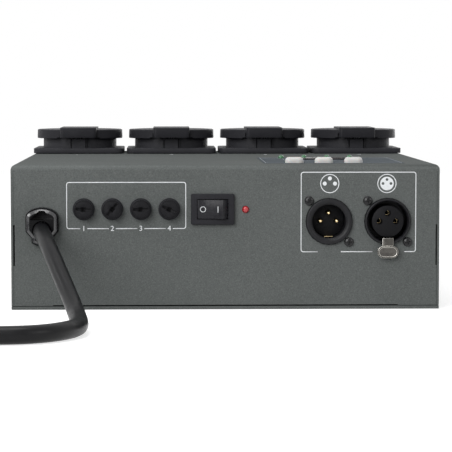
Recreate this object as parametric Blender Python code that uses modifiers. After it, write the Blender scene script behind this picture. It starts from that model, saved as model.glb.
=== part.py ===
"""Four-channel DMX switch pack.

A folded steel box with a connector panel at the front and four flap-lid outlets on its top.
Units are metres and +Z is up. The connector panel faces -Y, and the origin lies on the floor
under the middle of the box. Panel parts are drawn in a frame of their own: X right, Y up and
Z out of the panel. Parts on the top are drawn with Z = 0 on the cover's top face.
"""

import math

import bmesh
import bpy
from mathutils import Matrix, Vector

# Clearances
GAP = 0.0003                    # between pieces that touch
HINGE_GAP = 0.0004              # beside the lid's lugs
COLLAR_GAP = 0.0005             # between a closed lid and the socket's collar

# Housing: folded sheet cover on a flat base plate
HOUSING_WIDTH = 0.208
HOUSING_DEPTH = 0.210
HOUSING_HEIGHT = 0.0704
SHEET = 0.0012
BEND_RADIUS = 0.0025
BEND_STEPS = 4
BASE_SHEET = 0.0015
RETURN_WIDTH = 0.010            # folded-in lower edge that takes the base screws
FRONT_RETURN_MARGIN = 0.020
SIDE_RETURN_MARGIN = 0.030
FOLD_RELIEF = 0.0004
CORNER_SLOT_INSET = 0.0010
CORNER_SLOT_WIDTH = 0.0008
CORNER_SLOT_LOW = 0.0213
CORNER_SLOT_HIGH = 0.0412

# Base screws, countersunk from below
BASE_SCREW_INSET = 0.006
BASE_SCREW_SIDE_MARGIN = 0.044
BASE_SCREW_END_MARGIN = 0.060
BASE_SCREW_HEAD_RADIUS = 0.0028
BASE_SCREW_RADIUS = 0.0012

# Outlet sockets
SOCKET_COUNT = 4
SOCKET_PITCH = HOUSING_WIDTH / SOCKET_COUNT
SOCKET_SPACE = 0.002            # between neighbouring flanges
SOCKET_FLANGE = SOCKET_PITCH - SOCKET_SPACE
SOCKET_BACK_SPACE = 0.006       # from a flange to the back
SOCKET_STEPS = 24
SOCKET_FLANGE_CORNER = 0.004
SOCKET_FLANGE_THICKNESS = 0.0028
SOCKET_FLANGE_BEVEL = 0.0008
LID_MARGIN = 0.00085            # from the lid's rim to the flange's edge
LID_RADIUS = SOCKET_FLANGE / 2 - LID_MARGIN
LID_OVERHANG = 0.00345          # of the lid's rim past the collar
COLLAR_RADIUS = LID_RADIUS - LID_OVERHANG
COLLAR_HEIGHT = 0.0109
COLLAR_WALL = 0.0014
WELL_RADIUS = COLLAR_RADIUS - COLLAR_WALL
WELL_FLOOR = 0.0066             # below the cover's top
SOCKET_DEPTH = 0.0206           # below the cover's top
PIN_HOLE_RADIUS = 0.0026
PIN_HOLE_SPACING = 0.019
PIN_HOLE_DEPTH = 0.013
KEY_WIDTH = 0.0048
KEY_REACH = 0.0026              # inwards from the well's wall
KEY_DROP = 0.001                # below the collar's rim
SOCKET_SCREW_INSET = 0.006      # from the flange's edge
SOCKET_SCREW_SPACING = SOCKET_FLANGE - 2 * SOCKET_SCREW_INSET
SOCKET_SCREW_HEAD_RADIUS = 0.0029
SOCKET_SCREW_RADIUS = 0.0013

# Earth bracket in each socket: one bent strip with two sprung fingers
BRACKET_WIDTH = 0.006
BRACKET_THICKNESS = 0.0008
BRACKET_FROM_WALL = 0.0011      # from the well's wall to the strip's middle
BRACKET_LEG = WELL_RADIUS - BRACKET_FROM_WALL
BRACKET_BULGE = 0.0019
BRACKET_TOP = 0.006
BRACKET_SLOT_SIDE_GAP = 0.0004
# Heights below the finger's tip: where it bulges most, leaves the wall and stands upright
BRACKET_BENDS = (0.0025, 0.0055, 0.009)

# Lid hinge
HINGE_OFFSET = 0.0035           # in front of the collar
HINGE_FORWARD = COLLAR_RADIUS + HINGE_OFFSET
HINGE_HEIGHT = 0.0102
HINGE_PIN_RADIUS = 0.0010
HINGE_PIN_LENGTH = 0.0196
HINGE_BORE_GAP = 0.0002
LUG_RADIUS = 0.0018
LUG_INNER = 0.0028
LUG_OUTER = 0.0047
RIB_TOP = 0.0086
RIB_REACH = 0.0010              # in front of the collar

# Lid
LID_TAPER = 0.00065             # from the rim's radius to the top's
LID_RIM_HEIGHT = 0.0084
LID_TOP = 0.0138
LID_CROWN = 0.0005
LID_THICKNESS = 0.0024
BAND_HALF_WIDTH = 0.0101
BAND_TOP = 0.0146
BAND_BACK = 0.0125
BAND_ROOT = 0.0125              # height where the band is sunk in the disc
HINGE_BLOCK_AHEAD = 0.0032      # in front of the pin
HINGE_BLOCK_BEHIND = 0.0016
HINGE_BLOCK_BOTTOM = 0.0091
HINGE_BLOCK_CORNER = 0.0020
HINGE_BLOCK_EDGE = 0.0010
LID_RELIEF_SIDE = 0.0019        # cut beside the hinge block, under the lid's rim
LID_RELIEF_DEPTH = 0.0072
FINGER_LIP_OVERHANG = 0.00235   # past the lid's rim
FINGER_LIP_WIDTH = 0.014
FINGER_LIP_THICKNESS = 0.0018

# Lid spring: a torsion spring round the pin, between the lugs
SPRING_WIRE = 0.0006
SPRING_MEAN_RADIUS = 0.00155
SPRING_PITCH = 0.0012
SPRING_TURNS = 3
SPRING_POINTS_PER_TURN = 8
SPRING_LEG = 0.0022

# Fuse holders, left on the panel
FUSE_COUNT = 4
FUSE_PITCH = 0.0138
FUSE_SIDE_MARGIN = 0.0352
FUSE_FIRST_X = FUSE_SIDE_MARGIN - HOUSING_WIDTH / 2
FUSE_Z = 0.0489
FUSE_RADIUS = 0.0026
FUSE_LENGTH = 0.020
FUSE_END_LENGTH = 0.0055
FUSE_GLASS_RADIUS = 0.00235
HOLDER_FLANGE_RADIUS = 0.0053
HOLDER_FLANGE_THICKNESS = 0.0012
HOLDER_WALL = 0.0010
HOLDER_FLOOR = 0.0054
HOLDER_BLADE_WIDTH = 0.005
HOLDER_BLADE_LENGTH = 0.006
BLADE_THICKNESS = 0.0008
CAP_HEAD_RADIUS = 0.00475
CAP_HEAD_THICKNESS = 0.0025
CAP_SHANK_RADIUS = 0.0033
CAP_SHANK_DEPTH = 0.004
CAP_FUSE_GAP = 0.00015
CAP_SLOT_LENGTH = 0.0074
CAP_SLOT_WIDTH = 0.0012
CAP_SLOT_DEPTH = 0.0012
CAP_SQUARE = 0.0016
CAP_SQUARE_DEPTH = 0.002
CAP_SLOT_ANGLES = (175.0, 50.0, 180.0, 155.0)
FUSE_NUT_ACROSS = 0.0126
FUSE_NUT_THICKNESS = 0.003

# Rocker switch
SWITCH_SIDE_MARGIN = 0.0976
SWITCH_X = SWITCH_SIDE_MARGIN - HOUSING_WIDTH / 2
SWITCH_Z = 0.0488
SWITCH_BEZEL_WIDTH = 0.021
SWITCH_BEZEL_HEIGHT = 0.015
SWITCH_BEZEL_PROUD = 0.0020
SWITCH_BEZEL_CORNER = 0.0010
SWITCH_BODY_WIDTH = 0.0186
SWITCH_BODY_HEIGHT = 0.0124
SWITCH_BODY_DEPTH = 0.018
SWITCH_BLADE_LENGTH = 0.008
SWITCH_BLADE_WIDTH = 0.0063
SWITCH_BLADE_SPACING = 0.010
ROCKER_PIVOT_DEPTH = 0.00187
ROCKER_HALF_LENGTH = 0.0062
ROCKER_END_RISE = 0.0054        # above the pivot
ROCKER_VALLEY_RISE = 0.0045
ROCKER_HEIGHT = 0.0092
ROCKER_SWING = 26.0             # degrees, from one end to the other
ROCKER_FOOT_ANGLE = -30.0
TRUNNION_RADIUS = 0.0012
TRUNNION_LENGTH = 0.0008

# Power lamp
LAMP_SIDE_MARGIN = 0.1136
LAMP_X = LAMP_SIDE_MARGIN - HOUSING_WIDTH / 2
LAMP_Z = 0.0486
LAMP_RADIUS = 0.0016
LAMP_PROUD = 0.0015
LAMP_FLANGE_RADIUS = 0.0024
LAMP_LEAD = 0.0005
LAMP_LEAD_LENGTH = 0.0065
LAMP_LEAD_SPACING = 0.00254

# Three-pin connectors
CONNECTOR_Z = 0.0427
CONNECTOR_SIDE_MARGIN = 0.0253
CONNECTOR_SPACING = 0.0285
CONNECTOR_OUT_X = HOUSING_WIDTH / 2 - CONNECTOR_SIDE_MARGIN
CONNECTOR_IN_X = CONNECTOR_OUT_X - CONNECTOR_SPACING
CONNECTOR_RADIUS = 0.01115
CONNECTOR_STEPS = 24
CONNECTOR_FLANGE_WIDTH = 0.026
CONNECTOR_FLANGE_HEIGHT = 0.028
CONNECTOR_FLANGE_THICKNESS = 0.002
CONNECTOR_FLANGE_CORNER = 0.002
CONNECTOR_SHOULDER = 0.0008     # behind the panel, where the wide front ends
CONNECTOR_SCREW_X = 0.0097
CONNECTOR_SCREW_Y = 0.0100
CONNECTOR_SCREW_RADIUS = 0.0015
CONTACT_CIRCLE = 0.004
CONTACT_ANGLES = (90.0, 180.0, 0.0)
MALE_LIP = 0.0016
MALE_CHAMFER_WIDTH = 0.0014
MALE_CHAMFER_DEPTH = 0.001
MALE_BARREL_RADIUS = 0.0102
MALE_BORE_RADIUS = 0.0082
MALE_BORE_DEPTH = 0.0125
MALE_LENGTH = 0.019
MALE_INSERT_THICKNESS = 0.004
MALE_PIN_RADIUS = 0.0012
MALE_PIN_TIP = 0.0022           # behind the panel's face
EARTH_STRIP_WIDTH = 0.004
EARTH_STRIP_THICKNESS = 0.0006
EARTH_STRIP_OFFSET = 0.0071
EARTH_STRIP_LENGTH = 0.006
FEMALE_LIP = 0.0018
FEMALE_BARREL_RADIUS = 0.0106
FEMALE_BORE_RADIUS = 0.00985
FEMALE_BORE_DEPTH = 0.0145
FEMALE_LENGTH = 0.020
FEMALE_INSERT_RADIUS = 0.00775
FEMALE_INSERT_PROUD = 0.0009
FEMALE_HOLE_RADIUS = 0.00125
FEMALE_CONTACT_BORE = 0.00085
FEMALE_CONTACT_TOP = 0.0015     # behind the panel's face

# Push latch below the female connector
LATCH_DROP = 0.0148
LATCH_WIDTH = 0.0102
LATCH_HEIGHT = 0.006
LATCH_BOTTOM = 0.0016
LATCH_THICKNESS = 0.0014
LATCH_NECK_WIDTH = 0.0053
LATCH_NECK_BOTTOM = 0.0012
LATCH_NECK_TOP = 0.0024
LATCH_TONGUE_THICKNESS = 0.0009
LATCH_TONGUE_DEPTH = 0.004
LATCH_TRAVEL = 0.001

# Controls on the top
BUTTON_COUNT = 3
DISPLAY_SIDE_MARGIN = 0.0550    # to the middle of the display and the lamps
BUTTON_SIDE_MARGIN = 0.0551
DISPLAY_X = HOUSING_WIDTH / 2 - DISPLAY_SIDE_MARGIN
BUTTON_CENTRE_X = HOUSING_WIDTH / 2 - BUTTON_SIDE_MARGIN
BUTTON_PITCH = 0.0146
BUTTON_DEPTH = 0.0175           # back from the panel
BUTTON_LENGTH = 0.0091
BUTTON_WIDTH = 0.0050
BUTTON_PROUD = 0.0030
BUTTON_EDGE = 0.0007
BUTTON_SKIRT = 0.001            # wider than the cap, all round
BUTTON_SKIRT_THICKNESS = 0.0008
BUTTON_FOOT = 0.0002
BUTTON_TRAVEL = 0.0005
BUTTON_STOP_GAP = 0.0002
LABEL_SIDE_MARGIN = 0.0155
LABEL_WIDTH = 0.0695
LABEL_LEFT = HOUSING_WIDTH / 2 - LABEL_SIDE_MARGIN - LABEL_WIDTH
LABEL_FRONT = 0.0125            # back from the panel
LABEL_DEPTH = 0.0775
LABEL_THICKNESS = 0.0004
LABEL_GLUE = 0.0002
LABEL_CORNER = 0.001
DISPLAY_DEPTH = 0.065
DISPLAY_WIDTH = 0.030
DISPLAY_HEIGHT = 0.014
DISPLAY_PROUD = 0.0009
CHANNEL_LED_COUNT = 4
CHANNEL_LED_PITCH = 0.0119
CHANNEL_LED_DEPTH = 0.077
CHANNEL_LED_RADIUS = 0.0015
CHANNEL_LED_PROUD = 0.0020

# Control board under the top
BOARD_THICKNESS = 0.0016
CONTROL_BOARD_DROP = 0.0052
CONTROL_BOARD_FRONT = 0.010
CONTROL_BOARD_DEPTH = 0.082
CONTROL_STUD_INSET = 0.004
CONTROL_STUD_RADIUS = 0.0025
CONTROL_PIN_RADIUS = 0.0012
CONTROL_PIN_REACH = 0.0012
KEY_SWITCH_SIZE = 0.006
KEY_SWITCH_HEIGHT = 0.0010
KEY_PLUNGER_RADIUS = 0.00175
HEADER_SIZE = (0.020, 0.006, 0.008)

# Power board on the base plate
POWER_BOARD_SIDE_SPACE = 0.019
POWER_BOARD_WIDTH = HOUSING_WIDTH - 2 * POWER_BOARD_SIDE_SPACE
POWER_BOARD_DEPTH = 0.110
POWER_BOARD_FRONT = 0.045
POWER_STUD_RADIUS = 0.003
POWER_PIN_RADIUS = 0.0015
POWER_STUD_INSET = 0.005
POWER_STUD_HEIGHT = 0.006
POWER_PIN_REACH = 0.0011
RELAY_COUNT = 4
RELAY_PITCH = 0.027
RELAY_FIRST_X = -0.062
RELAY_WIDTH = 0.0155
RELAY_DEPTH = 0.020
RELAY_HEIGHT = 0.016
RELAY_FROM_PANEL = 0.128
RELAY_EDGE = 0.0006
TRANSFORMER_SIDE_MARGIN = 0.049
TRANSFORMER_X = HOUSING_WIDTH / 2 - TRANSFORMER_SIDE_MARGIN
TRANSFORMER_FROM_PANEL = 0.085
TRANSFORMER_WIDTH = 0.040
TRANSFORMER_DEPTH = 0.034
TRANSFORMER_HEIGHT = 0.028
TRANSFORMER_CORE_DEPTH = 0.018
TRANSFORMER_COIL_WIDTH = 0.026
TRANSFORMER_EDGE = 0.001

# Strain-relief bushing
BUSHING_SIDE_MARGIN = 0.0152
BUSHING_X = BUSHING_SIDE_MARGIN - HOUSING_WIDTH / 2
BUSHING_Z = 0.0416
BUSHING_PROUD = 0.007
BUSHING_INSIDE = 0.0132
BUSHING_HALF_WIDTH = 0.0081
BUSHING_TOP = 0.0083
BUSHING_SHOULDER = 0.0035
BUSHING_WAIST = -0.0032
BUSHING_TONGUE_HALF_WIDTH = 0.0051
BUSHING_TONGUE_TOP = -0.0068
BUSHING_TONGUE_LOW = -0.0090
BUSHING_BOTTOM = -0.0102
BUSHING_TAPER = 0.95
BUSHING_BARREL_SCALE = 0.83
BUSHING_EDGE = 0.0008
BUSHING_POCKET_WIDTH = 0.012
BUSHING_POCKET_LOW = 0.0030
BUSHING_POCKET_HIGH = 0.0063
BUSHING_POCKET_DEPTH = 0.003
CABLE_BELOW_BUSHING = 0.0025
CABLE_CHANNEL_GAP = 0.0005

# Supply lead
CORD_RADIUS = 0.004
CORD_SIDES = 3                  # bevel resolution of the free stretch
CORD_STEP = 0.018
CORD_FINE_STEPS = 20            # per stretch of the route, while it is measured
# Route of the free stretch: x, distance in front of the panel, height
CORD_ROUTE = (
    (-0.0888, -0.0110, 0.0391),
    (-0.0888, 0.0000, 0.0391),
    (-0.0886, 0.0100, 0.0388),
    (-0.0866, 0.0200, 0.0366),
    (-0.0840, 0.0300, 0.0330),
    (-0.0810, 0.0400, 0.0280),
    (-0.0774, 0.0510, 0.0216),
    (-0.0743, 0.0600, 0.0162),
    (-0.0712, 0.0700, 0.0109),
    (-0.0687, 0.0810, 0.0066),
    (-0.0670, 0.0950, 0.0043),
    (-0.0680, 0.1075, 0.0041),
    (-0.0722, 0.1180, 0.0041),
    (-0.0790, 0.1265, 0.0041),
    (-0.0880, 0.1320, 0.0041),
    (-0.1000, 0.1340, 0.0041),
    (-0.1150, 0.1340, 0.0043),
    (-0.1300, 0.1340, 0.0047),
    (-0.1420, 0.1340, 0.0051),
    (-0.1537, 0.1340, 0.0054),
)

# Coil of the lead that is put away, its tie and the mains plug
COIL_X = -0.162
COIL_IN_FRONT = 0.083
COIL_RADIUS = 0.051
COIL_TURNS = 4.25
COIL_SPACING = 0.0087           # between neighbouring turns and between the two layers
COIL_LOW = 0.0054
COIL_POINTS_PER_TURN = 24
LEAD_OUT_LENGTH = 0.055
LEAD_OUT_HEIGHT = 0.0189
LEAD_OUT_POINTS = 6
TIE_THICKNESS = 0.001
TIE_WIDTH = 0.010
TIE_GAP = 0.0004
PLUG_TAIL_LENGTH = 0.034
PLUG_TAIL_RADIUS = 0.0058
PLUG_HEAD_LENGTH = 0.022
PLUG_HEAD_RADIUS = 0.0186
PLUG_FACE_RADIUS = 0.0180
PLUG_FACE_EDGE = 0.002
PLUG_SHOULDER_LENGTH = 0.006
PLUG_SHOULDER_SHARE = 0.8       # of the head's radius
PLUG_NECK_LENGTH = 0.005
PLUG_NECK_SHARE = 0.5
PLUG_PIN_RADIUS = 0.0024
PLUG_PIN_LENGTH = 0.019
PLUG_PIN_SPACING = 0.019
PLUG_GROOVE_WIDTH = 0.0062
PLUG_GROOVE_DEPTH = 0.0022
PLUG_GROOVE_START = 0.004       # past the head's back
PLUG_EARTH_HOLE_RADIUS = 0.0025
PLUG_EARTH_HOLE_OFFSET = 0.010

# Places worked out from the sizes above
HALF_WIDTH = HOUSING_WIDTH / 2
PANEL_Y = -(HOUSING_DEPTH - BUSHING_PROUD) / 2
BACK_Y = PANEL_Y + HOUSING_DEPTH
COVER_BOTTOM = BASE_SHEET + GAP
SOCKET_Y = BACK_Y - SOCKET_BACK_SPACE - SOCKET_FLANGE / 2
TINY = 0.00001
FILL_SCALE = 1000.0             # outlines are filled in millimetres, where the fill is exact


# Scene and finishes

for item in list(bpy.data.objects):
    bpy.data.objects.remove(item, do_unlink=True)

parts = bpy.data.collections.new("dmx_switch_pack")
cutters = bpy.data.collections.new("cutters")
bpy.context.scene.collection.children.link(parts)
bpy.context.scene.collection.children.link(cutters)


def finish(name, colour, roughness, metallic=0.0):
    """Material of one colour, given as red, green and blue from 0 to 255."""
    material = bpy.data.materials.new(name)
    material.use_nodes = True
    shader = material.node_tree.nodes["Principled BSDF"]
    linear = [(value / 255.0) ** 2.2 for value in colour]
    shader.inputs["Base Color"].default_value = (*linear, 1.0)
    shader.inputs["Roughness"].default_value = roughness
    shader.inputs["Metallic"].default_value = metallic
    material.diffuse_color = (*linear, 1.0)
    return material


powder_coat = finish("powder_coat", (101, 104, 103), 0.55)
black_plastic = finish("black_plastic", (40, 40, 42), 0.45)
soft_black = finish("soft_black", (34, 34, 36), 0.65)
plated_steel = finish("plated_steel", (190, 190, 186), 0.30, 1.0)
brass = finish("brass", (196, 164, 92), 0.30, 1.0)
spring_steel = finish("spring_steel", (120, 122, 124), 0.35, 1.0)
nickel = finish("nickel", (168, 168, 164), 0.28, 1.0)
satin_black_metal = finish("satin_black_metal", (52, 52, 54), 0.42, 1.0)
fuse_glass = finish("fuse_glass", (205, 212, 210), 0.15)
cream_plastic = finish("cream_plastic", (201, 198, 194), 0.45)
label_film = finish("label_film", (96, 104, 110), 0.50)
dark_window = finish("dark_window", (14, 12, 14), 0.12)
red_lens = finish("red_lens", (120, 16, 18), 0.20)
board_green = finish("board_green", (28, 84, 52), 0.50)
winding_tape = finish("winding_tape", (196, 168, 80), 0.55)
cord_sheath = finish("cord_sheath", (30, 30, 31), 0.55)


# Mesh tools

def block(low, high):
    """Box between two opposite corners."""
    shape = bmesh.new()
    bmesh.ops.create_cube(shape, size=1.0)
    bmesh.ops.scale(shape, vec=Vector(high) - Vector(low), verts=shape.verts)
    bmesh.ops.translate(shape, vec=(Vector(high) + Vector(low)) / 2, verts=shape.verts)
    return finished(shape)


def rod(radius, low, high, steps, centre=(0.0, 0.0), top_radius=None):
    """Cylinder or cone along Z between two heights."""
    shape = bmesh.new()
    bmesh.ops.create_cone(
        shape, cap_ends=True, cap_tris=False, segments=steps, radius1=radius,
        radius2=radius if top_radius is None else top_radius, depth=high - low)
    bmesh.ops.translate(shape, vec=(*centre, (low + high) / 2), verts=shape.verts)
    return finished(shape)


def finished(shape):
    """Mesh of a bmesh, which is freed."""
    mesh = bpy.data.meshes.new("shape")
    shape.to_mesh(mesh)
    shape.free()
    return mesh


def baked(shape):
    """Mesh of an object as its modifiers or curve settings shape it; the object goes."""
    depsgraph = bpy.context.evaluated_depsgraph_get()
    mesh = bpy.data.meshes.new_from_object(shape.evaluated_get(depsgraph))
    bpy.data.objects.remove(shape, do_unlink=True)
    return mesh


def drawn(data):
    """Object in the scene that holds a mesh or a curve, for baking."""
    shape = bpy.data.objects.new("drawn", data)
    bpy.context.scene.collection.objects.link(shape)
    return shape


def welded(mesh):
    """Mesh with its loose caps joined, flat faces merged and faces turned outwards."""
    shape = bmesh.new()
    shape.from_mesh(mesh)
    bmesh.ops.remove_doubles(shape, verts=shape.verts, dist=TINY)
    bmesh.ops.recalc_face_normals(shape, faces=shape.faces)
    shape.to_mesh(mesh)
    shape.free()
    return mesh


def turned(profile, steps):
    """Solid of revolution about Z from (radius, height) points down its outer side."""
    mesh = bpy.data.meshes.new("profile")
    edges = [(index, index + 1) for index in range(len(profile) - 1)]
    mesh.from_pydata([(radius, 0.0, height) for radius, height in profile], edges, [])
    shape = drawn(mesh)
    screw = shape.modifiers.new("Screw", "SCREW")
    screw.steps = steps
    screw.render_steps = steps
    screw.use_merge_vertices = True
    screw.merge_threshold = TINY
    return baked(shape)


def prism(outline, low, high):
    """Flat outline of (x, y) points, extruded between two heights."""
    curve = bpy.data.curves.new("outline", "CURVE")
    curve.dimensions = "2D"
    curve.fill_mode = "BOTH"
    curve.extrude = (high - low) / 2 * FILL_SCALE
    spline = curve.splines.new("POLY")
    spline.points.add(len(outline) - 1)
    for point, (x, y) in zip(spline.points, outline):
        point.co = (x * FILL_SCALE, y * FILL_SCALE, 0.0, 1.0)
    spline.use_cyclic_u = True
    mesh = baked(drawn(curve))
    mesh.transform(Matrix.Diagonal((1 / FILL_SCALE,) * 3).to_4x4())
    mesh.transform(Matrix.Translation((0.0, 0.0, (low + high) / 2)))
    return dissolved(welded(mesh))


def dissolved(mesh):
    """Mesh whose flat faces each are one polygon."""
    shape = bmesh.new()
    shape.from_mesh(mesh)
    bmesh.ops.dissolve_limit(shape, angle_limit=0.001, verts=shape.verts, edges=shape.edges)
    shape.to_mesh(mesh)
    shape.free()
    return mesh


def side_prism(outline, half_width):
    """Outline of (y, z) points, extruded along X to both sides."""
    mesh = prism(outline, -half_width, half_width)
    mesh.transform(Matrix(((0, 0, 1, 0), (1, 0, 0, 0), (0, 1, 0, 0), (0, 0, 0, 1))))
    return mesh


def tube(points, radius, resolution):
    """Round tube through the points, with closed ends."""
    curve = bpy.data.curves.new("tube", "CURVE")
    curve.dimensions = "3D"
    curve.bevel_depth = radius
    curve.bevel_resolution = resolution
    curve.use_fill_caps = True
    spline = curve.splines.new("POLY")
    spline.points.add(len(points) - 1)
    for point, place in zip(spline.points, points):
        point.co = (*place, 1.0)
    return welded(baked(drawn(curve)))


def strip(outline, width, thickness):
    """Bent sheet-metal strip: (y, z) points along its middle, extruded along X."""
    curve = bpy.data.curves.new("strip", "CURVE")
    curve.dimensions = "3D"
    curve.extrude = width / 2
    spline = curve.splines.new("POLY")
    spline.points.add(len(outline) - 1)
    for point, (y, z) in zip(spline.points, outline):
        point.co = (y, z, 0.0, 1.0)
    surface = welded(baked(drawn(curve)))
    surface.transform(Matrix(((0, 0, 1, 0), (1, 0, 0, 0), (0, 1, 0, 0), (0, 0, 0, 1))))
    return thickened(surface, thickness, 0.0)


def thickened(mesh, thickness, offset=-1.0):
    """Open surface given a wall, by default on its inner side."""
    shape = drawn(mesh)
    solidify = shape.modifiers.new("Solidify", "SOLIDIFY")
    solidify.thickness = thickness
    solidify.offset = offset
    solidify.use_even_offset = True
    return baked(shape)


def combined(mesh, others, operation):
    """Mesh joined with, cut by or limited to the other meshes, one after another."""
    base = drawn(mesh)
    tools = []
    for other in others:
        tool = bpy.data.objects.new("cutter", other)
        tool.display_type = "WIRE"
        tool.hide_render = True
        cutters.objects.link(tool)
        tools.append(tool)
        boolean = base.modifiers.new("Boolean", "BOOLEAN")
        boolean.operation = operation
        boolean.solver = "EXACT"
        boolean.object = tool
    result = baked(base)
    for tool in tools:
        bpy.data.objects.remove(tool, do_unlink=True)
    return result


def cut(mesh, others):
    """Mesh with the others cut out of it."""
    return combined(mesh, others, "DIFFERENCE")


def joined(mesh, others):
    """One body made of the mesh and the others."""
    return combined(mesh, others, "UNION")


def gathered(meshes):
    """Separate solids kept together in one mesh."""
    shape = bmesh.new()
    for mesh in meshes:
        shape.from_mesh(mesh)
    return finished(shape)


def placed(mesh, frame):
    """Copy of a mesh, set in a frame."""
    copy = mesh.copy()
    copy.transform(frame)
    return copy


def softened(mesh, width, segments, chosen):
    """Mesh with the edges that chosen(edge) picks rounded."""
    shape = bmesh.new()
    shape.from_mesh(mesh)
    edges = [edge for edge in shape.edges if chosen(edge)]
    bmesh.ops.bevel(
        shape, geom=edges, offset=width, offset_type="OFFSET", segments=segments,
        profile=0.5, affect="EDGES", clamp_overlap=False)
    shape.to_mesh(mesh)
    shape.free()
    return mesh


def rim_at(height):
    """Picks the edges round a flat top or bottom at a height."""
    def chosen(edge):
        level = all(abs(vertex.co.z - height) < TINY for vertex in edge.verts)
        return level and edge.calc_face_angle(0.0) > 0.5
    return chosen


def arc(centre, radius, start, end, steps):
    """Points on an arc between two angles in degrees, ends included."""
    points = []
    for step in range(steps + 1):
        angle = math.radians(start + (end - start) * step / steps)
        x = centre[0] + radius * math.cos(angle)
        y = centre[1] + radius * math.sin(angle)
        points.append((x, y))
    return points


def rounded_outline(width, height, radius, steps=4):
    """Rectangle about the origin with round corners."""
    x = width / 2 - radius
    y = height / 2 - radius
    points = []
    for corner_x, corner_y, start in ((x, y, 0), (-x, y, 90), (-x, -y, 180), (x, -y, 270)):
        points += arc((corner_x, corner_y), radius, start, start + 90, steps)
    return points


def stadium(width, height, steps=5):
    """Oblong with half-round ends, longer along X."""
    x = (width - height) / 2
    right = arc((x, 0.0), height / 2, -90, 90, steps)
    left = arc((-x, 0.0), height / 2, 90, 270, steps)
    return right + left


def panel_frame(x, z):
    """Frame on the connector panel: X right, Y up, Z out of the panel."""
    return Matrix.Translation((x, PANEL_Y, z)) @ Matrix.Rotation(math.pi / 2, 4, "X")


def top_frame(x, from_panel):
    """Frame on the cover's top face, a distance back from the panel."""
    return Matrix.Translation((x, PANEL_Y + from_panel, HOUSING_HEIGHT))


def add_part(name, mesh, material, frame=None):
    """Named piece of the pack, smooth where it is round."""
    mesh.name = name
    mesh.materials.clear()
    mesh.materials.append(material)
    mesh.shade_smooth()
    mesh.set_sharp_from_angle(angle=math.radians(35))
    part = bpy.data.objects.new(name, mesh)
    if frame is not None:
        part.matrix_world = frame
    parts.objects.link(part)
    return part


# Places of what repeats

def spread(count, pitch, centre=0.0):
    """Positions of a row about its centre."""
    return [centre + (index - (count - 1) / 2) * pitch for index in range(count)]


def corners(half_x, half_y):
    """The four corners of a rectangle about the origin."""
    return [(x, y) for y in (-half_y, half_y) for x in (-half_x, half_x)]


socket_places = [(x, SOCKET_Y) for x in spread(SOCKET_COUNT, SOCKET_PITCH)]
socket_frames = [Matrix.Translation((x, y, HOUSING_HEIGHT)) for x, y in socket_places]
fuse_places = [FUSE_FIRST_X + index * FUSE_PITCH for index in range(FUSE_COUNT)]
button_places = spread(BUTTON_COUNT, BUTTON_PITCH, BUTTON_CENTRE_X)
channel_led_places = spread(CHANNEL_LED_COUNT, CHANNEL_LED_PITCH, DISPLAY_X)
socket_screw_places = corners(SOCKET_SCREW_SPACING / 2, SOCKET_SCREW_SPACING / 2)
connector_screw_places = [
    (-CONNECTOR_SCREW_X, CONNECTOR_SCREW_Y),
    (CONNECTOR_SCREW_X, -CONNECTOR_SCREW_Y),
]

front_screw_x = HALF_WIDTH - BASE_SCREW_SIDE_MARGIN
side_screw_x = HALF_WIDTH - BASE_SCREW_INSET
base_screw_places = []
for y in (PANEL_Y + BASE_SCREW_INSET, BACK_Y - BASE_SCREW_INSET):
    base_screw_places += [(-front_screw_x, y), (front_screw_x, y)]
for y in (PANEL_Y + BASE_SCREW_END_MARGIN, BACK_Y - BASE_SCREW_END_MARGIN):
    base_screw_places += [(-side_screw_x, y), (side_screw_x, y)]

control_board_y = PANEL_Y + CONTROL_BOARD_FRONT
control_stud_places = []
for x in (LABEL_LEFT + CONTROL_STUD_INSET, LABEL_LEFT + LABEL_WIDTH - CONTROL_STUD_INSET):
    for y in (control_board_y + CONTROL_STUD_INSET,
              control_board_y + CONTROL_BOARD_DEPTH - CONTROL_STUD_INSET):
        control_stud_places.append((x, y))

power_board_y = PANEL_Y + POWER_BOARD_FRONT
power_stud_places = []
for x in (POWER_STUD_INSET - POWER_BOARD_WIDTH / 2, POWER_BOARD_WIDTH / 2 - POWER_STUD_INSET):
    for y in (power_board_y + POWER_STUD_INSET,
              power_board_y + POWER_BOARD_DEPTH - POWER_STUD_INSET):
        power_stud_places.append((x, y))


# Housing cover

def rocker_opening(frame):
    """Cutter for the rocker switch's hole in the panel."""
    half_width = SWITCH_BODY_WIDTH / 2 + GAP
    half_height = SWITCH_BODY_HEIGHT / 2 + GAP
    opening = block((-half_width, -half_height, -2 * SHEET), (half_width, half_height, SHEET))
    return placed(opening, frame)


def bushing_outline(scale=1.0):
    """Outline of the strain-relief bushing, scaled about a point just below its middle."""
    right = [
        (BUSHING_HALF_WIDTH, BUSHING_WAIST),
        (BUSHING_TONGUE_HALF_WIDTH, BUSHING_TONGUE_TOP),
        (BUSHING_TONGUE_HALF_WIDTH, BUSHING_TONGUE_LOW),
        (BUSHING_TONGUE_HALF_WIDTH / 2, BUSHING_BOTTOM),
    ]
    rise = BUSHING_TOP - BUSHING_SHOULDER
    crown = []
    for x, y in arc((0.0, 0.0), 1.0, 0, 180, 10):
        crown.append((BUSHING_HALF_WIDTH * x, BUSHING_SHOULDER + rise * y))
    left = [(-x, y) for x, y in right]
    outline = right[::-1] + crown + left
    middle = (BUSHING_TOP + BUSHING_BOTTOM) / 2
    return [(x * scale, middle + (y - middle) * scale) for x, y in outline]


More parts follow.
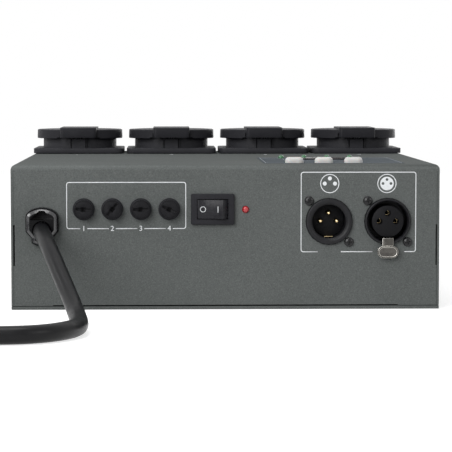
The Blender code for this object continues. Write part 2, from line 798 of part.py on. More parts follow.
def panel_cutters():
    """Everything that is cut through the connector panel."""
    tools = []
    holder_hole = CAP_SHANK_RADIUS + GAP + HOLDER_WALL + GAP
    for x in fuse_places:
        hole = rod(holder_hole, -2 * SHEET, SHEET, 16)
        tools.append(placed(hole, panel_frame(x, FUSE_Z)))
    tools.append(rocker_opening(panel_frame(SWITCH_X, SWITCH_Z)))
    lamp_hole = rod(LAMP_RADIUS + GAP, -2 * SHEET, SHEET, 12)
    tools.append(placed(lamp_hole, panel_frame(LAMP_X, LAMP_Z)))
    for connector_x in (CONNECTOR_IN_X, CONNECTOR_OUT_X):
        frame = panel_frame(connector_x, CONNECTOR_Z)
        tools.append(placed(rod(CONNECTOR_RADIUS + GAP, -2 * SHEET, SHEET, CONNECTOR_STEPS), frame))
        for place in connector_screw_places:
            hole = rod(CONNECTOR_SCREW_RADIUS + GAP, -2 * SHEET, SHEET, 8, place)
            tools.append(placed(hole, frame))
    grip = BUSHING_BARREL_SCALE * (1 + GAP / BUSHING_TONGUE_HALF_WIDTH)
    cable_hole = prism(bushing_outline(grip), -2 * SHEET, SHEET)
    tools.append(placed(cable_hole, panel_frame(BUSHING_X, BUSHING_Z)))
    return tools


def top_cutters():
    """Everything that is cut through the cover's top."""
    tools = []
    for frame in socket_frames:
        tools.append(placed(rod(COLLAR_RADIUS + GAP, -2 * SHEET, SHEET, SOCKET_STEPS), frame))
    slot = prism(stadium(BUTTON_LENGTH + 2 * GAP, BUTTON_WIDTH + 2 * GAP), -2 * SHEET, SHEET)
    for x in button_places:
        tools.append(placed(slot, top_frame(x, BUTTON_DEPTH)))
    half_width = DISPLAY_WIDTH / 2 + GAP
    half_height = DISPLAY_HEIGHT / 2 + GAP
    window = block((-half_width, -half_height, -2 * SHEET), (half_width, half_height, SHEET))
    tools.append(placed(window, top_frame(DISPLAY_X, DISPLAY_DEPTH)))
    for x in channel_led_places:
        hole = rod(CHANNEL_LED_RADIUS + GAP, -2 * SHEET, SHEET, 12)
        tools.append(placed(hole, top_frame(x, CHANNEL_LED_DEPTH)))
    return tools


def corner_slots():
    """The open slits left beside the welded vertical corners."""
    tools = []
    for side in (-1, 1):
        outer = side * (HALF_WIDTH - CORNER_SLOT_INSET)
        inner = outer - side * CORNER_SLOT_WIDTH
        left, right = sorted((outer, inner))
        for face_y, inwards in ((PANEL_Y, 1), (BACK_Y, -1)):
            near, far = sorted((face_y - inwards * SHEET, face_y + inwards * (SHEET + GAP)))
            tools.append(block((left, near, CORNER_SLOT_LOW), (right, far, CORNER_SLOT_HIGH)))
    return tools


def return_flanges():
    """Lower edges folded inwards, with the holes of the base screws."""
    low = COVER_BOTTOM + FOLD_RELIEF
    high = low + SHEET
    flanges = []
    half_length = HALF_WIDTH - FRONT_RETURN_MARGIN
    for wall_y, inwards in ((PANEL_Y, 1), (BACK_Y, -1)):
        near, far = sorted((wall_y + inwards * SHEET / 2, wall_y + inwards * RETURN_WIDTH))
        flanges.append(block((-half_length, near, low), (half_length, far, high)))
    front = PANEL_Y + SIDE_RETURN_MARGIN
    back = BACK_Y - SIDE_RETURN_MARGIN
    for side in (-1, 1):
        left, right = sorted((side * (HALF_WIDTH - SHEET / 2), side * (HALF_WIDTH - RETURN_WIDTH)))
        flanges.append(block((left, front, low), (right, back, high)))
    holes = []
    for place in base_screw_places:
        holes.append(rod(BASE_SCREW_RADIUS + GAP, low - SHEET, high + SHEET, 8, place))
    return [cut(flange, holes) for flange in flanges]


def fold_reliefs():
    """The strip by which a folded edge stands above the edge beside it."""
    tools = []
    half_length = HALF_WIDTH - FRONT_RETURN_MARGIN
    low = COVER_BOTTOM - SHEET
    high = COVER_BOTTOM + FOLD_RELIEF
    for wall_y, inwards in ((PANEL_Y, 1), (BACK_Y, -1)):
        near, far = sorted((wall_y - inwards * SHEET, wall_y + inwards * (SHEET + GAP)))
        tools.append(block((-half_length, near, low), (half_length, far, high)))
    front = PANEL_Y + SIDE_RETURN_MARGIN
    back = BACK_Y - SIDE_RETURN_MARGIN
    for side in (-1, 1):
        outer = side * (HALF_WIDTH + SHEET)
        inner = side * (HALF_WIDTH - SHEET - GAP)
        left, right = sorted((outer, inner))
        tools.append(block((left, front, low), (right, back, high)))
    return tools


def control_studs():
    """Pressed studs under the top that carry the control board."""
    shoulder = HOUSING_HEIGHT - CONTROL_BOARD_DROP + GAP
    tip = HOUSING_HEIGHT - CONTROL_BOARD_DROP - BOARD_THICKNESS - CONTROL_PIN_REACH
    profile = [
        (0.0, HOUSING_HEIGHT - SHEET / 2),
        (CONTROL_STUD_RADIUS, HOUSING_HEIGHT - SHEET / 2),
        (CONTROL_STUD_RADIUS, shoulder),
        (CONTROL_PIN_RADIUS, shoulder),
        (CONTROL_PIN_RADIUS, tip),
        (0.0, tip),
    ]
    stud = turned(profile, 6)
    return [placed(stud, Matrix.Translation((x, y, 0.0))) for x, y in control_stud_places]


def housing_cover():
    """Folded steel cover: five walls, open underneath."""
    low = (-HALF_WIDTH, PANEL_Y, COVER_BOTTOM)
    high = (HALF_WIDTH, BACK_Y, HOUSING_HEIGHT)
    walls = softened(block(low, high), BEND_RADIUS, BEND_STEPS, rim_at(HOUSING_HEIGHT))
    shape = bmesh.new()
    shape.from_mesh(walls)
    underside = [face for face in shape.faces if face.normal.z < -0.9]
    bmesh.ops.delete(shape, geom=underside, context="FACES_ONLY")
    cover = thickened(finished(shape), SHEET)
    cover = cut(cover, [gathered(fold_reliefs()), gathered(corner_slots())])
    cover = joined(cover, return_flanges() + control_studs())
    cover = cut(cover, [gathered(panel_cutters()), gathered(top_cutters())])
    return add_part("housing_cover", cover, powder_coat)


housing_cover()


# Base plate

def base_plate():
    """Flat steel plate with pressed-in studs for the power board."""
    plate = block((-HALF_WIDTH, PANEL_Y, 0.0), (HALF_WIDTH, BACK_Y, BASE_SHEET))
    wide = BASE_SCREW_HEAD_RADIUS + GAP
    narrow = BASE_SCREW_RADIUS + 2 * GAP
    # The cone runs on past both faces at the same slope.
    reach = BASE_SHEET / 4
    flare = (wide - narrow) / 4
    hole = rod(wide + flare, -reach, BASE_SHEET + reach, 8, top_radius=narrow - flare)
    holes = [placed(hole, Matrix.Translation((x, y, 0.0))) for x, y in base_screw_places]
    shoulder = BASE_SHEET + POWER_STUD_HEIGHT
    tip = shoulder + GAP + BOARD_THICKNESS + POWER_PIN_REACH
    profile = [
        (0.0, tip),
        (POWER_PIN_RADIUS, tip),
        (POWER_PIN_RADIUS, shoulder),
        (POWER_STUD_RADIUS, shoulder),
        (POWER_STUD_RADIUS, BASE_SHEET / 2),
        (0.0, BASE_SHEET / 2),
    ]
    stud = turned(profile, 8)
    studs = [placed(stud, Matrix.Translation((x, y, 0.0))) for x, y in power_stud_places]
    plate = joined(cut(plate, [gathered(holes)]), studs)
    return add_part("base_plate", plate, powder_coat)


base_plate()


# Outlet sockets

pivot = Vector((0.0, -HINGE_FORWARD, HINGE_HEIGHT))
flange_top = GAP + SOCKET_FLANGE_THICKNESS


def hinge_lugs():
    """Two cheeks in front of the collar that hold the lid's pin."""
    root = -(COLLAR_RADIUS + WELL_RADIUS) / 2
    front = arc((pivot.y, pivot.z), LUG_RADIUS, 75, 270, 7)
    outline = front + [(root, pivot.z - LUG_RADIUS), (root, COLLAR_HEIGHT - GAP)]
    half_width = (LUG_OUTER - LUG_INNER) / 2
    cheek = side_prism(outline, half_width)
    middle = (LUG_OUTER + LUG_INNER) / 2
    return [placed(cheek, Matrix.Translation((side * middle, 0.0, 0.0))) for side in (-1, 1)]


def socket_body_mesh():
    """Moulded socket: square flange, round collar, well with keys, pin holes and lugs."""
    outline = rounded_outline(SOCKET_FLANGE, SOCKET_FLANGE, SOCKET_FLANGE_CORNER, 3)
    flange = prism(outline, GAP, flange_top)
    flange = softened(flange, SOCKET_FLANGE_BEVEL, 1, rim_at(flange_top))
    profile = [
        (0.0, -WELL_FLOOR),
        (WELL_RADIUS, -WELL_FLOOR),
        (WELL_RADIUS, COLLAR_HEIGHT),
        (COLLAR_RADIUS, COLLAR_HEIGHT),
        (COLLAR_RADIUS, -SOCKET_DEPTH),
        (0.0, -SOCKET_DEPTH),
    ]
    barrel = turned(profile, SOCKET_STEPS)
    bore = rod((COLLAR_RADIUS + WELL_RADIUS) / 2, -SHEET, SOCKET_FLANGE, SOCKET_STEPS)
    body = joined(cut(flange, [bore]), [barrel])

    key_inner = WELL_RADIUS - KEY_REACH
    key_outer = (COLLAR_RADIUS + WELL_RADIUS) / 2
    key_low = -WELL_FLOOR - GAP
    key_high = COLLAR_HEIGHT - KEY_DROP
    key = block((key_inner, -KEY_WIDTH / 2, key_low), (key_outer, KEY_WIDTH / 2, key_high))
    keys = [key, placed(key, Matrix.Rotation(math.pi, 4, "Z"))]
    rib_low = (-LUG_OUTER, -COLLAR_RADIUS - RIB_REACH, flange_top - SOCKET_FLANGE_BEVEL)
    rib_high = (LUG_OUTER, -(COLLAR_RADIUS + WELL_RADIUS) / 2, RIB_TOP)
    body = joined(body, keys + [block(rib_low, rib_high)] + hinge_lugs())

    tools = []
    for side in (-1, 1):
        place = (side * PIN_HOLE_SPACING / 2, 0.0)
        tools.append(rod(PIN_HOLE_RADIUS, -WELL_FLOOR - PIN_HOLE_DEPTH, 0.0, 10, place))
        slot_inner = BRACKET_LEG - BRACKET_THICKNESS / 2 - BRACKET_SLOT_SIDE_GAP
        slot_outer = BRACKET_LEG + BRACKET_THICKNESS / 2 + BRACKET_SLOT_SIDE_GAP
        near, far = sorted((side * slot_inner, side * slot_outer))
        half = BRACKET_WIDTH / 2 + BRACKET_SLOT_SIDE_GAP
        tools.append(block((-half, near, -SOCKET_DEPTH - SHEET), (half, far, 0.0)))
    screw_hole_radius = SOCKET_SCREW_RADIUS + GAP
    head_hole_radius = SOCKET_SCREW_HEAD_RADIUS + GAP
    cone_low = flange_top - (head_hole_radius - screw_hole_radius)
    for place in socket_screw_places:
        cone = rod(
            screw_hole_radius, cone_low, flange_top + SHEET, 6, place, head_hole_radius + SHEET)
        shaft = rod(screw_hole_radius, -SHEET, cone_low + TINY, 6, place)
        tools.append(joined(cone, [shaft]))
    pin_bore = rod(HINGE_PIN_RADIUS + HINGE_BORE_GAP, -HINGE_PIN_LENGTH, HINGE_PIN_LENGTH, 12)
    pin_bore.transform(Matrix.Translation(pivot) @ Matrix.Rotation(math.pi / 2, 4, "Y"))
    tools.append(pin_bore)
    return cut(body, [gathered(tools)])


def socket_lid_mesh():
    """Round flap lid with a raised band that ends in its hinge block; origin on the pin."""
    inside = LID_TOP - LID_THICKNESS
    skirt_inner = COLLAR_RADIUS + COLLAR_GAP
    crown_edge = LID_TOP - LID_CROWN
    lid_top_radius = LID_RADIUS - LID_TAPER
    profile = [
        (0.0, LID_TOP),
        (lid_top_radius - 2 * LID_CROWN, crown_edge + 0.2 * LID_CROWN),
        (lid_top_radius, crown_edge - LID_CROWN),
        (LID_RADIUS, LID_RIM_HEIGHT),
        (skirt_inner, LID_RIM_HEIGHT),
        (skirt_inner, inside),
        (0.0, inside),
    ]
    disc = turned(profile, SOCKET_STEPS)

    front = pivot.y - HINGE_BLOCK_AHEAD
    back = pivot.y + HINGE_BLOCK_BEHIND
    edge = HINGE_BLOCK_EDGE
    outline = [(back, HINGE_BLOCK_BOTTOM), (back, BAND_ROOT)]
    outline += [(BAND_BACK, BAND_ROOT), (BAND_BACK, BAND_TOP - edge / 2)]
    outline += [(BAND_BACK - edge / 2, BAND_TOP)]
    outline += arc((front + edge, BAND_TOP - edge), edge, 90, 180, 3)
    outline += [(front, HINGE_BLOCK_BOTTOM)]
    band = side_prism(outline, BAND_HALF_WIDTH)
    plan_length = BAND_BACK - front
    plan = prism(
        rounded_outline(2 * BAND_HALF_WIDTH, plan_length, HINGE_BLOCK_CORNER, 3), 0.0, LID_RADIUS)
    plan.transform(Matrix.Translation((0.0, (BAND_BACK + front) / 2, 0.0)))
    band = combined(band, [plan], "INTERSECT")

    lip_low = (-FINGER_LIP_WIDTH / 2, (skirt_inner + LID_RADIUS) / 2, LID_RIM_HEIGHT)
    lip_reach = LID_RADIUS + FINGER_LIP_OVERHANG
    lip_high = (FINGER_LIP_WIDTH / 2, lip_reach, LID_RIM_HEIGHT + FINGER_LIP_THICKNESS)
    lip = block(lip_low, lip_high)
    lip = softened(lip, FINGER_LIP_THICKNESS, 2, upright_at(lip_reach))
    lid = joined(disc, [band, lip])

    cavity_half = LUG_OUTER + HINGE_GAP
    cavity_radius = LUG_RADIUS + HINGE_GAP + HINGE_BORE_GAP
    cavity_back = -(COLLAR_RADIUS + WELL_RADIUS) / 2 + 2 * HINGE_GAP
    cavity = rod(cavity_radius, -cavity_half, cavity_half, 20)
    cavity.transform(Matrix.Translation(pivot) @ Matrix.Rotation(math.pi / 2, 4, "Y"))
    throat = block(
        (-cavity_half, pivot.y, LID_RIM_HEIGHT - HINGE_GAP),
        (cavity_half, cavity_back, pivot.z + LUG_RADIUS + HINGE_GAP))
    gateway = block(
        (-BAND_HALF_WIDTH - HINGE_GAP, back, LID_RIM_HEIGHT - HINGE_GAP),
        (BAND_HALF_WIDTH + HINGE_GAP, cavity_back, inside))
    relief_half = BAND_HALF_WIDTH + LID_RELIEF_SIDE
    relief = block(
        (-relief_half, -LID_RADIUS - HINGE_GAP, LID_RIM_HEIGHT - HINGE_GAP),
        (relief_half, -LID_RADIUS + LID_RELIEF_DEPTH, HINGE_BLOCK_BOTTOM))
    pin_bore = rod(HINGE_PIN_RADIUS + HINGE_BORE_GAP, -LID_RADIUS, LID_RADIUS, 12)
    pin_bore.transform(Matrix.Translation(pivot) @ Matrix.Rotation(math.pi / 2, 4, "Y"))
    lid = cut(lid, [gateway, relief, throat, cavity, pin_bore])
    lid.transform(Matrix.Translation(-pivot))
    return lid


def upright_at(y):
    """Picks the upright edges that stand at a place along Y."""
    def chosen(edge):
        level = all(abs(vertex.co.y - y) < TINY for vertex in edge.verts)
        rise = abs(edge.verts[0].co.z - edge.verts[1].co.z)
        return level and rise > TINY
    return chosen


def lid_spring_points():
    """Middle line of the wound wire: a leg, the turns and the other leg; origin on the pin."""
    def place(angle, x, reach=0.0):
        turn = math.radians(angle)
        y = SPRING_MEAN_RADIUS * math.cos(turn)
        z = SPRING_MEAN_RADIUS * math.sin(turn)
        return (x, y - reach * math.sin(turn), z + reach * math.cos(turn))

    start_angle = 90.0
    count = SPRING_TURNS * SPRING_POINTS_PER_TURN
    half_length = SPRING_TURNS * SPRING_PITCH / 2
    points = [place(start_angle, -half_length, -SPRING_LEG)]
    for index in range(count + 1):
        angle = start_angle + 360.0 * index / SPRING_POINTS_PER_TURN
        x = -half_length + SPRING_PITCH * index / SPRING_POINTS_PER_TURN
        points.append(place(angle, x))
    return points


def least_gap(points, diameter, skip):
    """Smallest clear distance between stretches of a tube that lie apart along it."""
    nearest = math.inf
    places = [Vector(point) for point in points]
    for first in range(len(places)):
        for second in range(first + skip, len(places)):
            nearest = min(nearest, (places[first] - places[second]).length)
    return nearest - diameter


def earth_bracket_mesh():
    """One strip bent to a U under the socket, its ends sprung inwards in the well."""
    inner = BRACKET_LEG - BRACKET_BULGE
    lip = BRACKET_LEG - GAP
    foot = -SOCKET_DEPTH - GAP - BRACKET_THICKNESS / 2
    bulge, wall, upright = BRACKET_BENDS
    half = [
        (-lip, BRACKET_TOP),
        (-inner, BRACKET_TOP - bulge),
        (-lip, BRACKET_TOP - wall),
        (-BRACKET_LEG, BRACKET_TOP - upright),
        (-BRACKET_LEG, foot),
    ]
    outline = half + [(-y, z) for y, z in reversed(half)]
    return strip(outline, BRACKET_WIDTH, BRACKET_THICKNESS)


body_mesh = socket_body_mesh()
lid_mesh = socket_lid_mesh()
spring_points = lid_spring_points()
spring_mesh = tube(spring_points, SPRING_WIRE / 2, 1)
bracket_mesh = earth_bracket_mesh()
pin_mesh = rod(HINGE_PIN_RADIUS, -HINGE_PIN_LENGTH / 2, HINGE_PIN_LENGTH / 2, 8)
pin_mesh.transform(Matrix.Rotation(math.pi / 2, 4, "Y"))
for number, frame in enumerate(socket_frames, start=1):
    hinge_frame = frame @ Matrix.Translation(pivot)
    add_part(f"socket_body_{number}", body_mesh, black_plastic, frame)
    add_part(f"socket_lid_{number}", lid_mesh, black_plastic, hinge_frame)
    add_part(f"hinge_pin_{number}", pin_mesh, plated_steel, hinge_frame)
    add_part(f"lid_spring_{number}", spring_mesh, spring_steel, hinge_frame)
    add_part(f"earth_bracket_{number}", bracket_mesh, brass, frame)
gap_in_spring = least_gap(spring_points[1:], SPRING_WIRE, SPRING_POINTS_PER_TURN - 2)
print(f"least gap in a lid spring: {gap_in_spring * 1000:.2f} mm")


# Fuse holders, caps and fuses

def fuse_holder_mesh():
    """Threaded tube with a front flange, its hexagon nut behind the panel and a solder blade."""
    bore = CAP_SHANK_RADIUS + GAP
    barrel = bore + HOLDER_WALL
    floor = -FUSE_LENGTH - 2 * GAP
    end = floor - HOLDER_FLOOR
    flange_front = GAP + HOLDER_FLANGE_THICKNESS
    profile = [
        (0.0, floor),
        (bore, floor),
        (bore, flange_front),
        (HOLDER_FLANGE_RADIUS - GAP, flange_front),
        (HOLDER_FLANGE_RADIUS, flange_front - GAP),
        (HOLDER_FLANGE_RADIUS, GAP),
        (barrel, GAP),
        (barrel, end),
        (0.0, end),
    ]
    holder = turned(profile, 12)
    nut_top = -SHEET - GAP
    nut = rod(FUSE_NUT_ACROSS / math.sqrt(3), nut_top - FUSE_NUT_THICKNESS, nut_top, 6)
    centre = rod(bore + HOLDER_WALL / 2, nut_top - 2 * FUSE_NUT_THICKNESS, SHEET, 12)
    blade_low = (-HOLDER_BLADE_WIDTH / 2, -BLADE_THICKNESS / 2, end - HOLDER_BLADE_LENGTH)
    blade_high = (HOLDER_BLADE_WIDTH / 2, BLADE_THICKNESS / 2, end + GAP)
    return joined(holder, [cut(nut, [centre]), block(blade_low, blade_high)])


def fuse_cap_mesh():
    """Screw cap: head with a driver slot, and a shank that grips the fuse's end."""
    low = GAP + HOLDER_FLANGE_THICKNESS + GAP
    high = low + CAP_HEAD_THICKNESS
    grip = FUSE_RADIUS + CAP_FUSE_GAP
    profile = [
        (0.0, high),
        (CAP_HEAD_RADIUS - GAP, high),
        (CAP_HEAD_RADIUS, high - GAP),
        (CAP_HEAD_RADIUS, low),
        (CAP_SHANK_RADIUS, low),
        (CAP_SHANK_RADIUS, -CAP_SHANK_DEPTH),
        (grip, -CAP_SHANK_DEPTH),
        (grip, 0.0),
        (0.0, 0.0),
    ]
    cap = turned(profile, 12)
    slot = block(
        (-CAP_SLOT_LENGTH / 2, -CAP_SLOT_WIDTH / 2, high - CAP_SLOT_DEPTH),
        (CAP_SLOT_LENGTH / 2, CAP_SLOT_WIDTH / 2, high + GAP))
    square = block(
        (-CAP_SQUARE / 2, -CAP_SQUARE / 2, high - CAP_SQUARE_DEPTH),
        (CAP_SQUARE / 2, CAP_SQUARE / 2, high + GAP))
    return cut(cap, [slot, square])


def fuse_mesh():
    """Glass tube fuse with a metal cap on each end."""
    top = -GAP
    bottom = top - FUSE_LENGTH
    profile = [
        (0.0, top),
        (FUSE_RADIUS, top),
        (FUSE_RADIUS, top - FUSE_END_LENGTH),
        (FUSE_GLASS_RADIUS, top - FUSE_END_LENGTH),
        (FUSE_GLASS_RADIUS, bottom + FUSE_END_LENGTH),
        (FUSE_RADIUS, bottom + FUSE_END_LENGTH),
        (FUSE_RADIUS, bottom),
        (0.0, bottom),
    ]
    return turned(profile, 8)


holder_mesh = fuse_holder_mesh()
cap_mesh = fuse_cap_mesh()
glass_mesh = fuse_mesh()
for number, (x, angle) in enumerate(zip(fuse_places, CAP_SLOT_ANGLES), start=1):
    frame = panel_frame(x, FUSE_Z)
    turn = Matrix.Rotation(math.radians(angle), 4, "Z")
    add_part(f"fuse_holder_{number}", holder_mesh, black_plastic, frame)
    add_part(f"fuse_cap_{number}", cap_mesh, black_plastic, frame @ turn)
    add_part(f"fuse_{number}", glass_mesh, fuse_glass, frame)


# Rocker switch

rocker_radius = math.hypot(ROCKER_HALF_LENGTH, ROCKER_END_RISE)


def switch_body():
    """Bezel and snap-in body with a round pocket for the rocker and two blades behind."""
    outline = rounded_outline(
        SWITCH_BEZEL_WIDTH, SWITCH_BEZEL_HEIGHT, SWITCH_BEZEL_CORNER, 2)
    bezel = prism(outline, GAP, SWITCH_BEZEL_PROUD)
    bezel = softened(bezel, SWITCH_BEZEL_PROUD / 4, 2, rim_at(SWITCH_BEZEL_PROUD))
    body = block(
        (-SWITCH_BODY_WIDTH / 2, -SWITCH_BODY_HEIGHT / 2, -SWITCH_BODY_DEPTH),
        (SWITCH_BODY_WIDTH / 2, SWITCH_BODY_HEIGHT / 2, SWITCH_BEZEL_PROUD / 2))
    blades = []
    for side in (-1, 1):
        x = side * SWITCH_BLADE_SPACING / 2
        blades.append(block(
            (x - BLADE_THICKNESS / 2, -SWITCH_BLADE_WIDTH / 2,
             -SWITCH_BODY_DEPTH - SWITCH_BLADE_LENGTH),
            (x + BLADE_THICKNESS / 2, SWITCH_BLADE_WIDTH / 2, GAP - SWITCH_BODY_DEPTH)))
    upright = Matrix.Translation((0.0, 0.0, -ROCKER_PIVOT_DEPTH)) @ Matrix.Rotation(
        math.pi / 2, 4, "X")
    pocket_half = ROCKER_HEIGHT / 2 + GAP
    pocket = rod(rocker_radius + GAP, -pocket_half, pocket_half, 32)
    trunnion_half = pocket_half + TRUNNION_LENGTH + GAP
    seat = rod(TRUNNION_RADIUS + GAP, -trunnion_half, trunnion_half, 12)
    mesh = joined(bezel, [body] + blades)
    mesh = cut(mesh, [placed(pocket, upright), placed(seat, upright)])
    return add_part("switch_body", mesh, black_plastic, panel_frame(SWITCH_X, SWITCH_Z))


def switch_rocker():
    """Two-ended rocker, hollow across its face, left end pressed in at rest."""
    end_angle = math.degrees(math.atan2(ROCKER_END_RISE, ROCKER_HALF_LENGTH))
    right = arc((0.0, 0.0), rocker_radius, ROCKER_FOOT_ANGLE, end_angle, 6)
    dip = ROCKER_END_RISE - ROCKER_VALLEY_RISE
    face = []
    for share in (0.75, 0.5, 0.25):
        x = ROCKER_HALF_LENGTH * share
        face.append((x, ROCKER_VALLEY_RISE + dip * share ** 2))
    valley = face + [(0.0, ROCKER_VALLEY_RISE)] + [(-x, y) for x, y in reversed(face)]
    left = [(-x, y) for x, y in reversed(right)]
    mesh = prism(right + valley + left, -ROCKER_HEIGHT / 2, ROCKER_HEIGHT / 2)
    trunnion_half = ROCKER_HEIGHT / 2 + TRUNNION_LENGTH
    mesh = joined(mesh, [rod(TRUNNION_RADIUS, -trunnion_half, trunnion_half, 12)])
    # The outline is drawn across the panel and outwards; Z of the prism runs down the panel.
    mesh.transform(Matrix.Rotation(math.pi / 2, 4, "X"))
    pivot_frame = panel_frame(SWITCH_X, SWITCH_Z) @ Matrix.Translation(
        (0.0, 0.0, -ROCKER_PIVOT_DEPTH))
    tilt = Matrix.Rotation(math.radians(-ROCKER_SWING / 2), 4, "Y")
    return add_part("switch_rocker", mesh, black_plastic, pivot_frame @ tilt)


switch_body()
switch_rocker()


# Power lamp

def power_led():
    """Round lamp pushed through the panel from behind, up to its rim, with two leads."""
    dome = arc((0.0, LAMP_PROUD - LAMP_RADIUS), LAMP_RADIUS, 90, 0, 4)
    rim = -SHEET - GAP
    profile = dome + [
        (LAMP_RADIUS, rim),
        (LAMP_FLANGE_RADIUS, rim),
        (LAMP_FLANGE_RADIUS, rim - BLADE_THICKNESS),
        (0.0, rim - BLADE_THICKNESS),
    ]
    profile[0] = (0.0, LAMP_PROUD)
    leads = []
    for side in (-1, 1):
        x = side * LAMP_LEAD_SPACING / 2
        leads.append(block(
            (x - LAMP_LEAD / 2, -LAMP_LEAD / 2, rim - BLADE_THICKNESS - LAMP_LEAD_LENGTH),
            (x + LAMP_LEAD / 2, LAMP_LEAD / 2, rim - BLADE_THICKNESS / 2)))
    mesh = joined(turned(profile, 12), leads)
    return add_part("power_led", mesh, red_lens, panel_frame(LAMP_X, LAMP_Z))


power_led()


# Three-pin connectors

def connector_flange(barrel_radius, bore_radius):
    """Square mounting plate behind the panel, with its hole and two screw holes."""
    top = -SHEET - GAP
    low = top - CONNECTOR_FLANGE_THICKNESS
    outline = rounded_outline(
        CONNECTOR_FLANGE_WIDTH, CONNECTOR_FLANGE_HEIGHT, CONNECTOR_FLANGE_CORNER, 2)
    plate = prism(outline, low, top)
    middle = (barrel_radius + bore_radius) / 2
    tools = [rod(middle, low - SHEET, SHEET, CONNECTOR_STEPS)]
    for place in connector_screw_places:
        tools.append(rod(CONNECTOR_SCREW_RADIUS + GAP, low - SHEET, SHEET, 8, place))
    return cut(plate, [gathered(tools)])


def dmx_in_shell():
    """Metal cup of the male connector with a rolled rim and its mounting plate."""
    step = -SHEET - CONNECTOR_SHOULDER
    lip_inner = MALE_BORE_RADIUS + MALE_CHAMFER_WIDTH
    profile = [
        (0.0, -MALE_BORE_DEPTH),
        (MALE_BORE_RADIUS, -MALE_BORE_DEPTH),
        (MALE_BORE_RADIUS, MALE_LIP - MALE_CHAMFER_DEPTH),
        (lip_inner, MALE_LIP),
        (CONNECTOR_RADIUS - GAP, MALE_LIP),
        (CONNECTOR_RADIUS, MALE_LIP - GAP),
        (CONNECTOR_RADIUS, step),
        (MALE_BARREL_RADIUS, step),
        (MALE_BARREL_RADIUS, -MALE_LENGTH),
        (0.0, -MALE_LENGTH),
    ]
    cup = turned(profile, CONNECTOR_STEPS)
    mesh = joined(cup, [connector_flange(MALE_BARREL_RADIUS, MALE_BORE_RADIUS)])
    return add_part("dmx_in_shell", mesh, satin_black_metal, in_frame)


def contact_places():
    """The three contacts on their circle."""
    places = []
    for angle in CONTACT_ANGLES:
        turn = math.radians(angle)
        places.append((CONTACT_CIRCLE * math.cos(turn), CONTACT_CIRCLE * math.sin(turn)))
    return places


def dmx_in_insert():
    """Moulded disc at the bottom of the cup that holds the pins."""
    low = -MALE_BORE_DEPTH + GAP
    high = low + MALE_INSERT_THICKNESS
    disc = rod(MALE_BORE_RADIUS - GAP, low, high, CONNECTOR_STEPS)
    holes = []
    for place in contact_places():
        holes.append(rod(MALE_PIN_RADIUS + GAP / 2, low - GAP, high + GAP, 10, place))
    mesh = cut(disc, [gathered(holes)])
    return add_part("dmx_in_insert", mesh, black_plastic, in_frame)


def dmx_in_contacts():
    """Three round pins with eased tips, and the earth strip on the cup's lower wall."""
    low = -MALE_BORE_DEPTH + GAP
    profile = [
        (0.0, -MALE_PIN_TIP),
        (MALE_PIN_RADIUS / 2, -MALE_PIN_TIP),
        (MALE_PIN_RADIUS, -MALE_PIN_TIP - MALE_PIN_RADIUS / 2),
        (MALE_PIN_RADIUS, low),
        (0.0, low),
    ]
    pin = turned(profile, 10)
    for number, place in enumerate(contact_places(), start=1):
        frame = in_frame @ Matrix.Translation((*place, 0.0))
        add_part(f"dmx_in_pin_{number}", pin, brass, frame)
    foot = low + MALE_INSERT_THICKNESS + GAP
    strip_low = (-EARTH_STRIP_WIDTH / 2, -EARTH_STRIP_OFFSET - EARTH_STRIP_THICKNESS, foot)
    strip_high = (EARTH_STRIP_WIDTH / 2, -EARTH_STRIP_OFFSET, foot + EARTH_STRIP_LENGTH)
    add_part("dmx_in_earth_strip", block(strip_low, strip_high), brass, in_frame)


def dmx_out_shell():
    """Metal ring of the female connector, notched below for the latch, with its plate."""
    step = -SHEET - CONNECTOR_SHOULDER
    profile = [
        (0.0, -FEMALE_BORE_DEPTH),
        (FEMALE_BORE_RADIUS, -FEMALE_BORE_DEPTH),
        (FEMALE_BORE_RADIUS, FEMALE_LIP),
        (CONNECTOR_RADIUS - GAP, FEMALE_LIP),
        (CONNECTOR_RADIUS, FEMALE_LIP - GAP),
        (CONNECTOR_RADIUS, step),
        (FEMALE_BARREL_RADIUS, step),
        (FEMALE_BARREL_RADIUS, -FEMALE_LENGTH),
        (0.0, -FEMALE_LENGTH),
    ]
    cup = turned(profile, CONNECTOR_STEPS)
    mesh = joined(cup, [connector_flange(FEMALE_BARREL_RADIUS, FEMALE_BORE_RADIUS)])
    notch_floor = LATCH_NECK_BOTTOM - LATCH_TRAVEL - GAP - GAP
    half = LATCH_NECK_WIDTH / 2 + GAP
    notch = block(
        (-half, -CONNECTOR_RADIUS - GAP, notch_floor),
        (half, -FEMALE_INSERT_RADIUS - SHEET, FEMALE_LIP + SHEET))
    return add_part("dmx_out_shell", cut(mesh, [notch]), satin_black_metal, out_frame)


def dmx_out_insert():
    """Moulded core of the female connector with its three contact tubes set in."""
    low = -FEMALE_BORE_DEPTH + GAP
    disc = rod(FEMALE_INSERT_RADIUS, low, FEMALE_INSERT_PROUD, CONNECTOR_STEPS)
    disc = softened(disc, GAP, 1, rim_at(FEMALE_INSERT_PROUD))
    holes = []
    for place in contact_places():
        mouth = rod(FEMALE_HOLE_RADIUS, -FEMALE_CONTACT_TOP, FEMALE_INSERT_PROUD + GAP, 10, place)
        bore = rod(FEMALE_CONTACT_BORE, low + SHEET, GAP - FEMALE_CONTACT_TOP, 10, place)
        holes.append(joined(mouth, [bore]))
    mesh = cut(disc, [gathered(holes)])
    return add_part("dmx_out_insert", mesh, black_plastic, out_frame)


